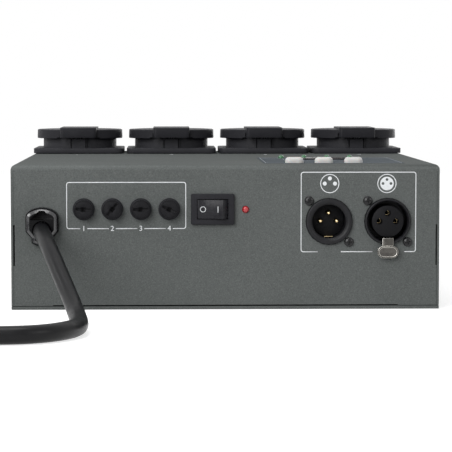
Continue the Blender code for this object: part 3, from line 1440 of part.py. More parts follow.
def dmx_out_latch():
    """Oval metal push tab with a bent neck and a tongue that reaches into the ring."""
    tab = prism(stadium(LATCH_WIDTH, LATCH_HEIGHT), LATCH_BOTTOM, LATCH_BOTTOM + LATCH_THICKNESS)
    tab = softened(tab, GAP, 1, rim_at(LATCH_BOTTOM + LATCH_THICKNESS))
    tab.transform(Matrix.Translation((0.0, -LATCH_DROP, 0.0)))
    tab_top = LATCH_HEIGHT / 2 - LATCH_DROP
    outer = GAP + LATCH_TONGUE_THICKNESS / 2 - (FEMALE_BORE_RADIUS + FEMALE_INSERT_RADIUS) / 2
    outer -= LATCH_TONGUE_THICKNESS
    inner = outer + LATCH_TONGUE_THICKNESS
    outline = [
        (tab_top - SHEET, LATCH_NECK_BOTTOM),
        (outer, LATCH_NECK_BOTTOM),
        (outer, -LATCH_TONGUE_DEPTH),
        (inner, -LATCH_TONGUE_DEPTH),
        (inner, LATCH_NECK_TOP),
        (tab_top - SHEET, LATCH_NECK_TOP),
    ]
    neck = side_prism(outline, LATCH_NECK_WIDTH / 2)
    return add_part("dmx_out_latch", joined(tab, [neck]), nickel, out_frame)


in_frame = panel_frame(CONNECTOR_IN_X, CONNECTOR_Z)
out_frame = panel_frame(CONNECTOR_OUT_X, CONNECTOR_Z)
dmx_in_shell()
dmx_in_insert()
dmx_in_contacts()
dmx_out_shell()
dmx_out_insert()
dmx_out_latch()


# Buttons, label and display on the top

button_skirt_top = -SHEET - GAP
button_foot = button_skirt_top - BUTTON_SKIRT_THICKNESS - BUTTON_FOOT
board_top = -CONTROL_BOARD_DROP


def button_mesh():
    """Oblong push button with a skirt that keeps it under the cover."""
    cap = prism(stadium(BUTTON_LENGTH, BUTTON_WIDTH), button_foot, BUTTON_PROUD)
    cap = softened(cap, BUTTON_EDGE, 2, rim_at(BUTTON_PROUD))
    skirt_outline = stadium(BUTTON_LENGTH + 2 * BUTTON_SKIRT, BUTTON_WIDTH + 2 * BUTTON_SKIRT)
    skirt = prism(skirt_outline, button_skirt_top - BUTTON_SKIRT_THICKNESS, button_skirt_top)
    return joined(cap, [skirt])


def control_label():
    """Thin film label stuck on the cover round the buttons, the display and the lamps."""
    outline = rounded_outline(LABEL_WIDTH, LABEL_DEPTH, LABEL_CORNER, 2)
    film = prism(outline, LABEL_GLUE, LABEL_GLUE + LABEL_THICKNESS)
    label_x = LABEL_LEFT + LABEL_WIDTH / 2
    label_y = LABEL_FRONT + LABEL_DEPTH / 2
    to_label = Matrix.Translation((-label_x, -label_y, 0.0))
    tools = []
    slot = prism(stadium(BUTTON_LENGTH + 2 * GAP, BUTTON_WIDTH + 2 * GAP), -SHEET, SHEET)
    for x in button_places:
        tools.append(placed(slot, to_label @ Matrix.Translation((x, BUTTON_DEPTH, 0.0))))
    half_width = DISPLAY_WIDTH / 2 + GAP
    half_height = DISPLAY_HEIGHT / 2 + GAP
    window = block((-half_width, -half_height, -SHEET), (half_width, half_height, SHEET))
    tools.append(placed(window, to_label @ Matrix.Translation((DISPLAY_X, DISPLAY_DEPTH, 0.0))))
    lamp_hole = rod(CHANNEL_LED_RADIUS + GAP, -SHEET, SHEET, 12)
    for x in channel_led_places:
        tools.append(placed(lamp_hole, to_label @ Matrix.Translation((x, CHANNEL_LED_DEPTH, 0.0))))
    mesh = cut(film, [gathered(tools)])
    return add_part("control_label", mesh, label_film, top_frame(label_x, label_y))


def display():
    """Numeric display module that stands on the control board and fills its window."""
    low = (-DISPLAY_WIDTH / 2, -DISPLAY_HEIGHT / 2, board_top + GAP)
    high = (DISPLAY_WIDTH / 2, DISPLAY_HEIGHT / 2, DISPLAY_PROUD)
    mesh = softened(block(low, high), GAP, 1, rim_at(DISPLAY_PROUD))
    return add_part("display", mesh, dark_window, top_frame(DISPLAY_X, DISPLAY_DEPTH))


button = button_mesh()
for number, x in enumerate(button_places, start=1):
    add_part(f"button_{number}", button, cream_plastic, top_frame(x, BUTTON_DEPTH))
control_label()
display()


# Boards inside

def control_board():
    """Circuit board under the top with its key switches, channel lamps and cable header."""
    x_middle = LABEL_LEFT + LABEL_WIDTH / 2
    y_middle = CONTROL_BOARD_FRONT + CONTROL_BOARD_DEPTH / 2
    frame = top_frame(x_middle, y_middle)
    low = (-LABEL_WIDTH / 2, -CONTROL_BOARD_DEPTH / 2, board_top - BOARD_THICKNESS)
    high = (LABEL_WIDTH / 2, CONTROL_BOARD_DEPTH / 2, board_top)
    pieces = []
    plunger_top = button_foot - BUTTON_TRAVEL - BUTTON_STOP_GAP
    half = KEY_SWITCH_SIZE / 2
    for x in button_places:
        place = (x - x_middle, BUTTON_DEPTH - y_middle)
        pieces.append(block(
            (place[0] - half, place[1] - half, board_top - GAP),
            (place[0] + half, place[1] + half, board_top + KEY_SWITCH_HEIGHT)))
        pieces.append(rod(KEY_PLUNGER_RADIUS, board_top, plunger_top, 8, place))
    shoulder = CHANNEL_LED_PROUD - CHANNEL_LED_RADIUS
    dome = arc((0.0, shoulder), CHANNEL_LED_RADIUS, 90, 0, 3)
    dome[0] = (0.0, CHANNEL_LED_PROUD)
    lamp = turned(dome + [(CHANNEL_LED_RADIUS, board_top - GAP), (0.0, board_top - GAP)], 8)
    for x in channel_led_places:
        place = (x - x_middle, CHANNEL_LED_DEPTH - y_middle, 0.0)
        pieces.append(placed(lamp, Matrix.Translation(place)))
    width, depth, height = HEADER_SIZE
    underside = board_top - BOARD_THICKNESS
    pieces.append(block(
        (-width / 2, -depth / 2, underside - height), (width / 2, depth / 2, underside + GAP)))
    mesh = joined(block(low, high), pieces)
    holes = []
    for x, y in control_stud_places:
        place = (x - x_middle, y - PANEL_Y - y_middle)
        holes.append(rod(CONTROL_PIN_RADIUS + GAP, 2 * board_top, 0.0, 8, place))
    return add_part("control_board", cut(mesh, [gathered(holes)]), board_green, frame)


def power_board():
    """Mains board on the base plate's studs, with the four channel relays soldered on."""
    y_middle = power_board_y + POWER_BOARD_DEPTH / 2
    low_z = BASE_SHEET + POWER_STUD_HEIGHT + GAP
    high_z = low_z + BOARD_THICKNESS
    board = block(
        (-POWER_BOARD_WIDTH / 2, power_board_y, low_z),
        (POWER_BOARD_WIDTH / 2, power_board_y + POWER_BOARD_DEPTH, high_z))
    relays = []
    for index in range(RELAY_COUNT):
        x = RELAY_FIRST_X + index * RELAY_PITCH
        y = PANEL_Y + RELAY_FROM_PANEL
        relay = block(
            (x - RELAY_WIDTH / 2, y - RELAY_DEPTH / 2, high_z - GAP),
            (x + RELAY_WIDTH / 2, y + RELAY_DEPTH / 2, high_z + RELAY_HEIGHT))
        relays.append(softened(relay, RELAY_EDGE, 1, rim_at(high_z + RELAY_HEIGHT)))
    holes = []
    for place in power_stud_places:
        holes.append(rod(POWER_PIN_RADIUS + GAP, 0.0, high_z + SHEET, 8, place))
    mesh = cut(joined(board, relays), [gathered(holes)])
    return add_part("power_board", mesh, board_green)


def transformer():
    """Small mains transformer: laminated core round a taped winding."""
    low_z = BASE_SHEET + POWER_STUD_HEIGHT + GAP + BOARD_THICKNESS + GAP
    high_z = low_z + TRANSFORMER_HEIGHT
    core_half = TRANSFORMER_CORE_DEPTH / 2
    core = block(
        (-TRANSFORMER_WIDTH / 2, -core_half, low_z), (TRANSFORMER_WIDTH / 2, core_half, high_z))
    coil_margin = (TRANSFORMER_WIDTH - TRANSFORMER_COIL_WIDTH) / 4
    coil = block(
        (-TRANSFORMER_COIL_WIDTH / 2, -TRANSFORMER_DEPTH / 2, low_z + coil_margin),
        (TRANSFORMER_COIL_WIDTH / 2, TRANSFORMER_DEPTH / 2, high_z - coil_margin))
    coil = softened(coil, TRANSFORMER_EDGE, 1, upright_at(TRANSFORMER_DEPTH / 2))
    coil = softened(coil, TRANSFORMER_EDGE, 1, upright_at(-TRANSFORMER_DEPTH / 2))
    frame = Matrix.Translation((TRANSFORMER_X, PANEL_Y + TRANSFORMER_FROM_PANEL, 0.0))
    return add_part("transformer", joined(core, [coil]), winding_tape, frame)


control_board()
power_board()
transformer()


# Strain-relief bushing

def strain_relief():
    """Snap-in bushing that clamps the supply lead: tapered head, lock pocket and barrel."""
    middle = (BUSHING_TOP + BUSHING_BOTTOM) / 2
    head = prism(bushing_outline(), GAP, BUSHING_PROUD)
    for vertex in head.vertices:
        if vertex.co.z > BUSHING_PROUD / 2:
            vertex.co.x *= BUSHING_TAPER
            vertex.co.y = middle + (vertex.co.y - middle) * BUSHING_TAPER
    head = softened(head, BUSHING_EDGE, 2, rim_at(BUSHING_PROUD))
    barrel = prism(bushing_outline(BUSHING_BARREL_SCALE), -BUSHING_INSIDE, BUSHING_PROUD / 2)
    pocket = block(
        (-BUSHING_POCKET_WIDTH / 2, BUSHING_POCKET_LOW, BUSHING_PROUD - BUSHING_POCKET_DEPTH),
        (BUSHING_POCKET_WIDTH / 2, BUSHING_POCKET_HIGH, BUSHING_PROUD + SHEET))
    channel = rod(
        CORD_RADIUS + CABLE_CHANNEL_GAP, -BUSHING_INSIDE - SHEET, BUSHING_PROUD + SHEET, 16,
        (0.0, -CABLE_BELOW_BUSHING))
    mesh = cut(joined(head, [barrel]), [pocket, channel])
    return add_part("strain_relief", mesh, soft_black, panel_frame(BUSHING_X, BUSHING_Z))


strain_relief()


# Supply lead, its coil, the tie and the mains plug

def smooth_curve(points, step):
    """Points an even step apart on a smooth curve through the chosen points."""
    places = [Vector(point) for point in points]
    ends = [2 * places[0] - places[1]] + places + [2 * places[-1] - places[-2]]
    fine = []
    for before, start, end, after in zip(ends, ends[1:], ends[2:], ends[3:]):
        for index in range(CORD_FINE_STEPS):
            share = index / CORD_FINE_STEPS
            fine.append(
                0.5 * (2 * start + (end - before) * share
                       + (2 * before - 5 * start + 4 * end - after) * share ** 2
                       + (3 * start - before - 3 * end + after) * share ** 3))
    fine.append(places[-1])
    length = sum((b - a).length for a, b in zip(fine, fine[1:]))
    count = round(length / step)
    spacing = length / count
    chosen = [fine[0]]
    run = 0.0
    for a, b in zip(fine, fine[1:]):
        run += (b - a).length
        if run >= spacing * len(chosen) and len(chosen) < count:
            chosen.append(b)
    return chosen + [fine[-1]], length


def cord_place(x, in_front, height):
    """World place from the distance in front of the connector panel."""
    return Vector((x, PANEL_Y - in_front, height))


def coil_points():
    """Middle line of the coil: spiral in, climb a layer, spiral out, then rise to the plug."""
    middle = cord_place(COIL_X, COIL_IN_FRONT, 0.0)
    lead_in = 2 * CORD_RADIUS
    points = [middle + Vector((lead_in, -COIL_RADIUS, COIL_LOW))]
    steps = round(COIL_TURNS * COIL_POINTS_PER_TURN)
    reversal = COIL_TURNS / 2
    for index in range(steps + 1):
        turn = index / COIL_POINTS_PER_TURN
        inwards = min(turn, COIL_TURNS - turn)
        radius = COIL_RADIUS - COIL_SPACING * inwards
        climb = min(max((turn - reversal) * 2 + 0.5, 0.0), 1.0)
        height = COIL_LOW + COIL_SPACING * climb * climb * (3 - 2 * climb)
        angle = math.radians(-90 - 360 * turn)
        points.append(middle + Vector(
            (radius * math.cos(angle), radius * math.sin(angle), height)))
    last = points[-1]
    rise = LEAD_OUT_HEIGHT - last.z
    for index in range(1, LEAD_OUT_POINTS + 1):
        share = index / LEAD_OUT_POINTS
        level = min(index / (LEAD_OUT_POINTS - 1), 1.0)
        points.append(last + Vector(
            (0.0, LEAD_OUT_LENGTH * share, rise * level * level * (3 - 2 * level))))
    return points


def coil_tie():
    """Flat strap closed round all the turns on the coil's side towards the housing."""
    inner = COIL_RADIUS - COIL_SPACING * (COIL_TURNS - 1) / 2 - CORD_RADIUS - 2 * TIE_GAP
    inner -= COIL_SPACING / 4
    outer = COIL_RADIUS - COIL_SPACING / 2 + CORD_RADIUS + TIE_GAP
    low = COIL_LOW - CORD_RADIUS - TIE_GAP / 2
    high = COIL_LOW + COIL_SPACING + CORD_RADIUS + TIE_GAP
    width = outer - inner
    height = high - low
    corner = CORD_RADIUS / 2
    band = rounded_outline(
        width + 2 * TIE_THICKNESS, height + 2 * TIE_THICKNESS, corner + TIE_THICKNESS, 3)
    hole = rounded_outline(width, height, corner, 3)
    mesh = cut(side_prism(band, TIE_WIDTH / 2), [side_prism(hole, TIE_WIDTH)])
    place = cord_place(COIL_X, COIL_IN_FRONT - (inner + outer) / 2, (low + high) / 2)
    return add_part("coil_tie", mesh, soft_black, Matrix.Translation(place))


def mains_plug(cord_end):
    """Round moulded plug with a tapered tail, two pins, earth grooves and an earth socket."""
    face = PLUG_TAIL_LENGTH + PLUG_HEAD_LENGTH
    profile = [
        (0.0, face),
        (PLUG_FACE_RADIUS, face),
        (PLUG_HEAD_RADIUS, face - PLUG_FACE_EDGE),
        (PLUG_HEAD_RADIUS, PLUG_TAIL_LENGTH + PLUG_SHOULDER_LENGTH),
        (PLUG_SHOULDER_SHARE * PLUG_HEAD_RADIUS, PLUG_TAIL_LENGTH),
        (PLUG_NECK_SHARE * PLUG_HEAD_RADIUS, PLUG_TAIL_LENGTH - PLUG_NECK_LENGTH),
        (PLUG_TAIL_RADIUS, 0.0),
        (0.0, 0.0),
    ]
    pieces = []
    grooves = []
    for side in (-1, 1):
        place = (side * PLUG_PIN_SPACING / 2, 0.0)
        pieces.append(rod(PLUG_PIN_RADIUS, face - SHEET, face + PLUG_PIN_LENGTH, 10, place))
        near, far = sorted((
            side * (PLUG_HEAD_RADIUS - PLUG_GROOVE_DEPTH), side * 2 * PLUG_HEAD_RADIUS))
        grooves.append(block(
            (-PLUG_GROOVE_WIDTH / 2, near, PLUG_TAIL_LENGTH + PLUG_GROOVE_START),
            (PLUG_GROOVE_WIDTH / 2, far, face + SHEET)))
    grooves.append(rod(
        PLUG_EARTH_HOLE_RADIUS, face - PLUG_PIN_LENGTH + SHEET, face + SHEET, 10,
        (0.0, PLUG_EARTH_HOLE_OFFSET)))
    mesh = cut(joined(turned(profile, 20), pieces), [gathered(grooves)])
    frame = Matrix.Translation(cord_end + Vector((0.0, GAP, 0.0)))
    return add_part("mains_plug", mesh, soft_black, frame @ Matrix.Rotation(-math.pi / 2, 4, "X"))


cord_route = [cord_place(*point) for point in CORD_ROUTE]
cord_points, free_length = smooth_curve(cord_route, CORD_STEP)
turns = coil_points()
add_part("supply_cord", tube(cord_points, CORD_RADIUS, CORD_SIDES), cord_sheath)
add_part("cord_coil", tube(turns, CORD_RADIUS, 1), cord_sheath)
coil_tie()
mains_plug(turns[-1])
coil_length = sum((b - a).length for a, b in zip(turns, turns[1:]))
gap_in_coil = least_gap(turns, 2 * CORD_RADIUS, COIL_POINTS_PER_TURN // 2)
print(f"least gap in the coil: {gap_in_coil * 1000:.2f} mm")
print(f"supply lead: {free_length:.3f} m free and {coil_length:.3f} m in the coil")
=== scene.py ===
"""Looks of the four-channel DMX switch pack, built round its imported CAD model."""

import math

import bmesh
import bpy
from mathutils import Matrix, Vector


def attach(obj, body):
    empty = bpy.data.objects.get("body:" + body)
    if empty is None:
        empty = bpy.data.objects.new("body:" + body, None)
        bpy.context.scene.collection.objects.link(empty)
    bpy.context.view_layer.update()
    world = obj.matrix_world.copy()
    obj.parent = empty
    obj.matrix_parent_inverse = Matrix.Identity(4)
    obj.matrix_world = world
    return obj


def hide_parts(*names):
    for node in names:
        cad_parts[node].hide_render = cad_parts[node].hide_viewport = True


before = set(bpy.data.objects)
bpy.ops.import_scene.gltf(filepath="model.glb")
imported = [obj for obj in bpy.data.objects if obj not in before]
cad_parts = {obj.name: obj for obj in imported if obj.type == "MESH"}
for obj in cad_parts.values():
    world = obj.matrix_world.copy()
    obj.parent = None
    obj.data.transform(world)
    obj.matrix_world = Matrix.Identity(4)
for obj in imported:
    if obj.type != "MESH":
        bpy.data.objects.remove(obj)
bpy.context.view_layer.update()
bpy.context.scene.view_settings.view_transform = "Standard"


# Camera: it stands about a metre in front of the connector panel and a little left of the
# pack's middle, and looks slightly down and to the right, as the photograph does.


def in_scene(name, data):
    """Object that holds the data, linked to the scene."""
    made = bpy.data.objects.new(name, data)
    bpy.context.scene.collection.objects.link(made)
    return made


view_camera = in_scene("view_camera", bpy.data.cameras.new("view_camera"))
view_camera.data.lens = 161.56
view_camera.data.sensor_width = 36.0
view_camera.location = (-0.02838, -1.08292, 0.10884)
view_camera.rotation_euler = (math.radians(90.0 - 3.9775), 0.0, math.radians(-1.6618))
bpy.context.scene.camera = view_camera


# Studio: a pale floor, an even white surround and five soft lamps. The strongest one stands at
# the front left, because the lids' left flanks are lighter than their right ones.

surround = bpy.data.worlds.new("surround")
surround.use_nodes = True
bpy.context.scene.world = surround
AMBIENT = 0.22
FLOOR_HALF = 1.4


def node(tree, kind, inputs, output=0, **settings):
    """One output of a new node, with a value or a link on each of the named inputs."""
    made = tree.nodes.new(kind)
    for key, value in settings.items():
        setattr(made, key, value)
    for key, value in inputs.items():
        if isinstance(value, bpy.types.NodeSocket):
            tree.links.new(value, made.inputs[key])
        else:
            made.inputs[key].default_value = value
    return made.outputs[output]


def seen_white(tree, strength_socket, plain, white):
    """White for the camera and in reflections, a plainer level for the light it gives."""
    ray = tree.nodes.new("ShaderNodeLightPath").outputs
    seen = ray["Is Camera Ray"]
    for kind in ("Is Glossy Ray", "Is Transmission Ray"):
        seen = node(tree, "ShaderNodeMath", {0: seen, 1: ray[kind]}, operation="MAXIMUM")
    level = node(tree, "ShaderNodeMapRange", {"Value": seen, "To Min": plain, "To Max": white})
    tree.links.new(level, strength_socket)


background = surround.node_tree.nodes["Background"]
background.inputs["Color"].default_value = (1.0, 1.0, 1.0, 1.0)
seen_white(surround.node_tree, background.inputs["Strength"], AMBIENT, 1.0)

floor_mesh = bpy.data.meshes.new("studio_floor")
floor_corners = ((-1, -1), (1, -1), (1, 1), (-1, 1))
floor_mesh.from_pydata(
    [(x * FLOOR_HALF, y * FLOOR_HALF, 0.0) for x, y in floor_corners], [], [(0, 1, 2, 3)])
studio_floor = in_scene("studio_floor", floor_mesh)
studio_floor.location.z = -0.0002
floor_paint = bpy.data.materials.new("studio_floor")
floor_paint.use_nodes = True
floor_shader = floor_paint.node_tree.nodes["Principled BSDF"]
floor_shader.inputs["Base Color"].default_value = (0.60, 0.60, 0.60, 1.0)
floor_shader.inputs["Roughness"].default_value = 0.9
floor_shader.inputs["Specular IOR Level"].default_value = 0.0
floor_shader.inputs["Emission Color"].default_value = (1.0, 1.0, 1.0, 1.0)
seen_white(floor_paint.node_tree, floor_shader.inputs["Emission Strength"], 0.0, 0.72)
floor_mesh.materials.append(floor_paint)


def soft_lamp(name, place, aim, size, power):
    """Square soft box that looks at a point."""
    lamp = in_scene(name, bpy.data.lights.new(name, "AREA"))
    lamp.data.shape = "SQUARE"
    lamp.data.size = size
    lamp.data.energy = power
    lamp.location = place
    lamp.rotation_euler = (Vector(aim) - Vector(place)).to_track_quat("-Z", "Y").to_euler()


soft_lamp("front_left_box", (-0.66, -1.08, 0.64), (0.0, -0.05, 0.04), 1.0, 15.8)
soft_lamp("left_box", (-1.6, 0.0, 1.10), (0.0, 0.0, 0.04), 0.6, 8.5)
soft_lamp("right_fill_box", (1.6, -1.2, 0.9), (0.0, 0.0, 0.05), 0.9, 5.0)
soft_lamp("rear_fill_box", (1.0, 1.9, 0.45), (0.0, 0.0, 0.04), 1.2, 12.0)
soft_lamp("overhead_box", (-0.15, -0.22, 1.30), (0.0, -0.05, 0.04), 0.7, 6.0)


# Supply lead: rubber-sheathed cable, 8 mm thick. It leaves the bushing on the panel, drops to
# the floor and runs left to a coil of a little over four turns in two layers.

LEAD_DIAMETER = 0.008
PANEL_FRONT = -0.1015
# x, distance in front of the panel, height
LEAD_ROUTE = (
    (-0.0888, -0.0110, 0.0391),
    (-0.0888, 0.0000, 0.0391),
    (-0.0886, 0.0100, 0.0388),
    (-0.0866, 0.0200, 0.0366),
    (-0.0840, 0.0300, 0.0330),
    (-0.0810, 0.0400, 0.0280),
    (-0.0774, 0.0510, 0.0216),
    (-0.0743, 0.0600, 0.0162),
    (-0.0712, 0.0700, 0.0109),
    (-0.0687, 0.0810, 0.0066),
    (-0.0670, 0.0950, 0.0043),
    (-0.0680, 0.1075, 0.0041),
    (-0.0722, 0.1180, 0.0041),
    (-0.0790, 0.1265, 0.0041),
    (-0.0880, 0.1320, 0.0041),
    (-0.1000, 0.1340, 0.0041),
    (-0.1150, 0.1340, 0.0043),
    (-0.1300, 0.1340, 0.0047),
    (-0.1420, 0.1340, 0.0051),
    (-0.1537, 0.1340, 0.0054),
)
COIL_MIDDLE = (-0.162, PANEL_FRONT - 0.083)
COIL_RADIUS = 0.051
COIL_TURNS = 4.25
COIL_SPACING = 0.0087
COIL_LOW = 0.0054
COIL_STEPS_PER_TURN = 48
LEAD_OUT_STEPS = 12
LEAD_OUT_LENGTH = 0.055
LEAD_OUT_HEIGHT = 0.0189
AS_DRAWN = Matrix()


def smooth_line(points, steps):
    """Smooth curve through the chosen points, each stretch in equal steps."""
    places = [Vector(point) for point in points]
    ends = [2 * places[0] - places[1]] + places + [2 * places[-1] - places[-2]]
    fine = []
    for before, start, end, after in zip(ends, ends[1:], ends[2:], ends[3:]):
        for index in range(steps):
            share = index / steps
            fine.append(
                0.5 * (2 * start + (end - before) * share
                       + (2 * before - 5 * start + 4 * end - after) * share ** 2
                       + (3 * start - before - 3 * end + after) * share ** 3))
    return fine + [places[-1]]


def coil_line():
    """Middle of the coil: spiral in, climb a layer, spiral out, then rise to the plug."""
    points = []
    for index in range(round(COIL_TURNS * COIL_STEPS_PER_TURN) + 1):
        turn = index / COIL_STEPS_PER_TURN
        radius = COIL_RADIUS - COIL_SPACING * min(turn, COIL_TURNS - turn)
        climb = min(max((turn - COIL_TURNS / 2) * 2 + 0.5, 0.0), 1.0)
        height = COIL_LOW + COIL_SPACING * climb * climb * (3 - 2 * climb)
        angle = math.radians(-90 - 360 * turn)
        points.append(Vector((
            COIL_MIDDLE[0] + radius * math.cos(angle),
            COIL_MIDDLE[1] + radius * math.sin(angle), height)))
    last = points[-1]
    for index in range(1, LEAD_OUT_STEPS + 1):
        share = index / LEAD_OUT_STEPS
        level = min(share * 6 / 5, 1.0)
        rise = (LEAD_OUT_HEIGHT - last.z) * level * level * (3 - 2 * level)
        points.append(last + Vector((0.0, LEAD_OUT_LENGTH * share, rise)))
    return points


def drawn_lines(name, lines):
    """Several open or closed lines of points in one object, for a tree to give a body to."""
    places = []
    edges = []
    for points in lines:
        start = len(places)
        places += [(*point, 0.0)[:3] for point in points]
        edges += [(start + i, start + i + 1) for i in range(len(points) - 1)]
        if math.dist(points[0], points[-1]) < 1e-6:
            places.pop()
            edges[-1] = (len(places) - 1, start)
    mesh = bpy.data.meshes.new(name)
    mesh.from_pydata(places, edges, [])
    return in_scene(name, mesh)


def new_tree(name, sizes):
    """Geometry Nodes tree with a Geometry socket and the named inputs, and its group inputs."""
    tree = bpy.data.node_groups.new(name, "GeometryNodeTree")
    tree.interface.new_socket("Geometry", in_out="OUTPUT", socket_type="NodeSocketGeometry")
    for label, kind in ({"Geometry": "Geometry"} | sizes | {"Finish": "Material"}).items():
        tree.interface.new_socket(label, in_out="INPUT", socket_type="NodeSocket" + kind)
    return tree, tree.nodes.new("NodeGroupInput").outputs


def ended(tree, taken, geometry):
    """The tree, ended with real geometry in the finish that it takes."""
    real = node(tree, "GeometryNodeRealizeInstances", {"Geometry": geometry})
    painted = node(tree, "GeometryNodeSetMaterial", {"Geometry": real, "Material": taken["Finish"]})
    tree.links.new(painted, tree.nodes.new("NodeGroupOutput").inputs["Geometry"])
    return tree


def as_plain(holder):
    """Plain mesh of an object as its modifiers leave it."""
    depsgraph = bpy.context.evaluated_depsgraph_get()
    return bpy.data.meshes.new_from_object(holder.evaluated_get(depsgraph))


def grown(drawing, tree, values, slot, *nodes, place=AS_DRAWN):
    """Drawing as the tree makes it: a plain mesh without the modifier, riding on the pack."""
    modifier = drawing.modifiers.new(tree.name, "NODES")
    modifier.node_group = tree
    for item in tree.interface.items_tree:
        if item.in_out == "INPUT" and item.name in values:
            modifier[item.identifier] = values[item.name]
    mesh = as_plain(drawing)
    drawing.modifiers.remove(modifier)
    mesh.name = drawing.name
    mesh.transform(place)
    drawing.data = mesh
    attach(drawing, "pack")
    if nodes:
        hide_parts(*nodes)
    return drawing


def tube_tree():
    """Round tube with closed ends along a line."""
    tree, taken = new_tree("tube_along_line", {"Radius": "Float", "Sides": "Int"})
    along = node(tree, "GeometryNodeMeshToCurve", {"Mesh": taken["Geometry"]})
    ring = node(tree, "GeometryNodeCurvePrimitiveCircle", {
        "Resolution": taken["Sides"], "Radius": taken["Radius"]})
    body = node(tree, "GeometryNodeCurveToMesh", {
        "Curve": along, "Profile Curve": ring, "Fill Caps": True})
    return ended(tree, taken, node(tree, "GeometryNodeSetShadeSmooth", {"Geometry": body}))


def linear(colour):
    """Colour of red, green and blue from 0 to 255, as the shaders take it."""
    return (*[(value / 255.0) ** 2.2 for value in colour], 1.0)


def speckle(material, size, stretch=(1.0, 1.0, 1.0), detail=3.0):
    """Uneven pattern through the piece, with spots about as large as size."""
    tree = material.node_tree
    place = node(tree, "ShaderNodeTexCoord", {}, "Object")
    fit = node(tree, "ShaderNodeMapping", {"Vector": place, "Scale": stretch})
    return node(tree, "ShaderNodeTexNoise", {"Vector": fit, "Scale": 1.0 / size, "Detail": detail})


def ramped(material, pattern, low, high, least=0.0, most=1.0):
    """A pattern's values from low to high, spread over a new range."""
    return node(material.node_tree, "ShaderNodeMapRange", {
        "Value": pattern, "From Min": low, "From Max": high, "To Min": least, "To Max": most})


def tinted(material, pattern, colour):
    """A second colour where the pattern is strong, over what is there already."""
    tree = material.node_tree
    base = tree.nodes["Principled BSDF"].inputs["Base Color"]
    under = base.links[0].from_socket if base.is_linked else tuple(base.default_value)
    mixed = node(tree, "ShaderNodeMix", {"Factor": pattern, "A": under, "B": linear(colour)},
                 "Result", data_type="RGBA")
    tree.links.new(mixed, base)


def bumped(material, pattern, depth):
    """Relief of a given depth in metres, on top of what is there already."""
    tree = material.node_tree
    normal = tree.nodes["Principled BSDF"].inputs["Normal"]
    inputs = {"Height": pattern, "Distance": depth, "Strength": 1.0}
    if normal.is_linked:
        inputs["Normal"] = normal.links[0].from_socket
    tree.links.new(node(tree, "ShaderNodeBump", inputs), normal)


def finish(name, colour, gloss=None, metallic=0.0, specular=0.5, more=None, spots=(), grain=()):
    """New finish. Gloss is (size of its unevenness, least and most roughness), each of the spots
    is (size, pattern value where it starts, where it is full, colour), and each grain is (size,
    depth). A stretch can follow in gloss and grain. More names other inputs of the shader."""
    material = bpy.data.materials.new(name)
    material.use_nodes = True
    material.diffuse_color = linear(colour)
    shader = material.node_tree.nodes["Principled BSDF"].inputs
    values = {"Base Color": linear(colour), "Metallic": metallic, "Specular IOR Level": specular}
    for label, value in (values | (more or {})).items():
        shader[label].default_value = value
    for size, start, full, tint in spots:
        tinted(material, ramped(material, speckle(material, size), start, full), tint)
    if gloss:
        size, least, most, *stretch = gloss
        varied = ramped(material, speckle(material, size, *stretch), 0.3, 0.7, least, most)
        material.node_tree.links.new(varied, shader["Roughness"])
    for size, depth, *stretch in grain:
        bumped(material, speckle(material, size, *stretch), depth)
    return material


sheath_rubber = finish(
    "sheath_rubber", (16, 16, 18), (0.006, 0.28, 0.40), specular=0.20,
    spots=[(0.02, 0.45, 0.75, (21, 21, 23)), (0.0009, 0.62, 0.8, (32, 32, 32))],
    grain=[(0.0006, 0.00002)])

route = [(x, PANEL_FRONT - forward, z) for x, forward, z in LEAD_ROUTE]
lead_line = smooth_line(route, 6) + coil_line()
supply_lead = grown(
    drawn_lines("supply_lead", [lead_line]), tube_tree(),
    {"Radius": LEAD_DIAMETER / 2, "Sides": 20, "Finish": sheath_rubber}, "cord_sheath",
    "supply_cord", "cord_coil")


# Coil tie: a flat hook-and-loop strap of black nylon, wrapped once round all the turns on the
# side towards the pack and closed on itself.

TIE_THICKNESS = 0.001
TIE_WIDTH = 0.010
TIE_GAP = 0.0004
CREASE = 32.0


def arc(centre, radius, start, end, steps):
    """Points on an arc between two angles in degrees, ends included."""
    turns = [math.radians(start + (end - start) * step / steps) for step in range(steps + 1)]
    return [(centre[0] + radius * math.cos(t), centre[1] + radius * math.sin(t)) for t in turns]


def rounded_outline(width, height, radius, steps=6):
    """Rectangle about the origin with round corners, anticlockwise from its right side."""
    x = width / 2 - radius
    y = height / 2 - radius
    points = []
    for corner_x, corner_y, start in ((x, y, 0), (-x, y, 90), (-x, -y, 180), (x, -y, 270)):
        points += arc((corner_x, corner_y), radius, start, start + 90, steps)
    return points


def shift(x=0.0, y=0.0, z=0.0):
    """Move by three distances."""
    return Matrix.Translation((x, y, z))


def spin(degrees, axis):
    """Turn about an axis."""
    return Matrix.Rotation(math.radians(degrees), 4, axis)


def meshed(shape):
    """Mesh of a bmesh, which is freed."""
    mesh = bpy.data.meshes.new("shape")
    shape.to_mesh(mesh)
    shape.free()
    return mesh


def outward(shape):
    """Mesh of a bmesh with all its faces turned outwards."""
    bmesh.ops.recalc_face_normals(shape, faces=shape.faces)
    return meshed(shape)


def placed(mesh, place):
    """Copy of a mesh, set in a place."""
    copy = mesh.copy()
    copy.transform(place)
    return copy


def piece(name, mesh, place, material, body, slot, *nodes, crease=CREASE):
    """Piece in its place, riding on a body, smooth but for its creases. With crease as None its
    shading stays as it is."""
    mesh = placed(mesh, place)
    mesh.name = name
    mesh.materials.clear()
    mesh.materials.append(material)
    if crease:
        mesh.shade_smooth()
        mesh.set_sharp_from_angle(angle=math.radians(crease))
    made = in_scene(name, mesh)
    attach(made, body)
    if nodes:
        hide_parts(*nodes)
    return made


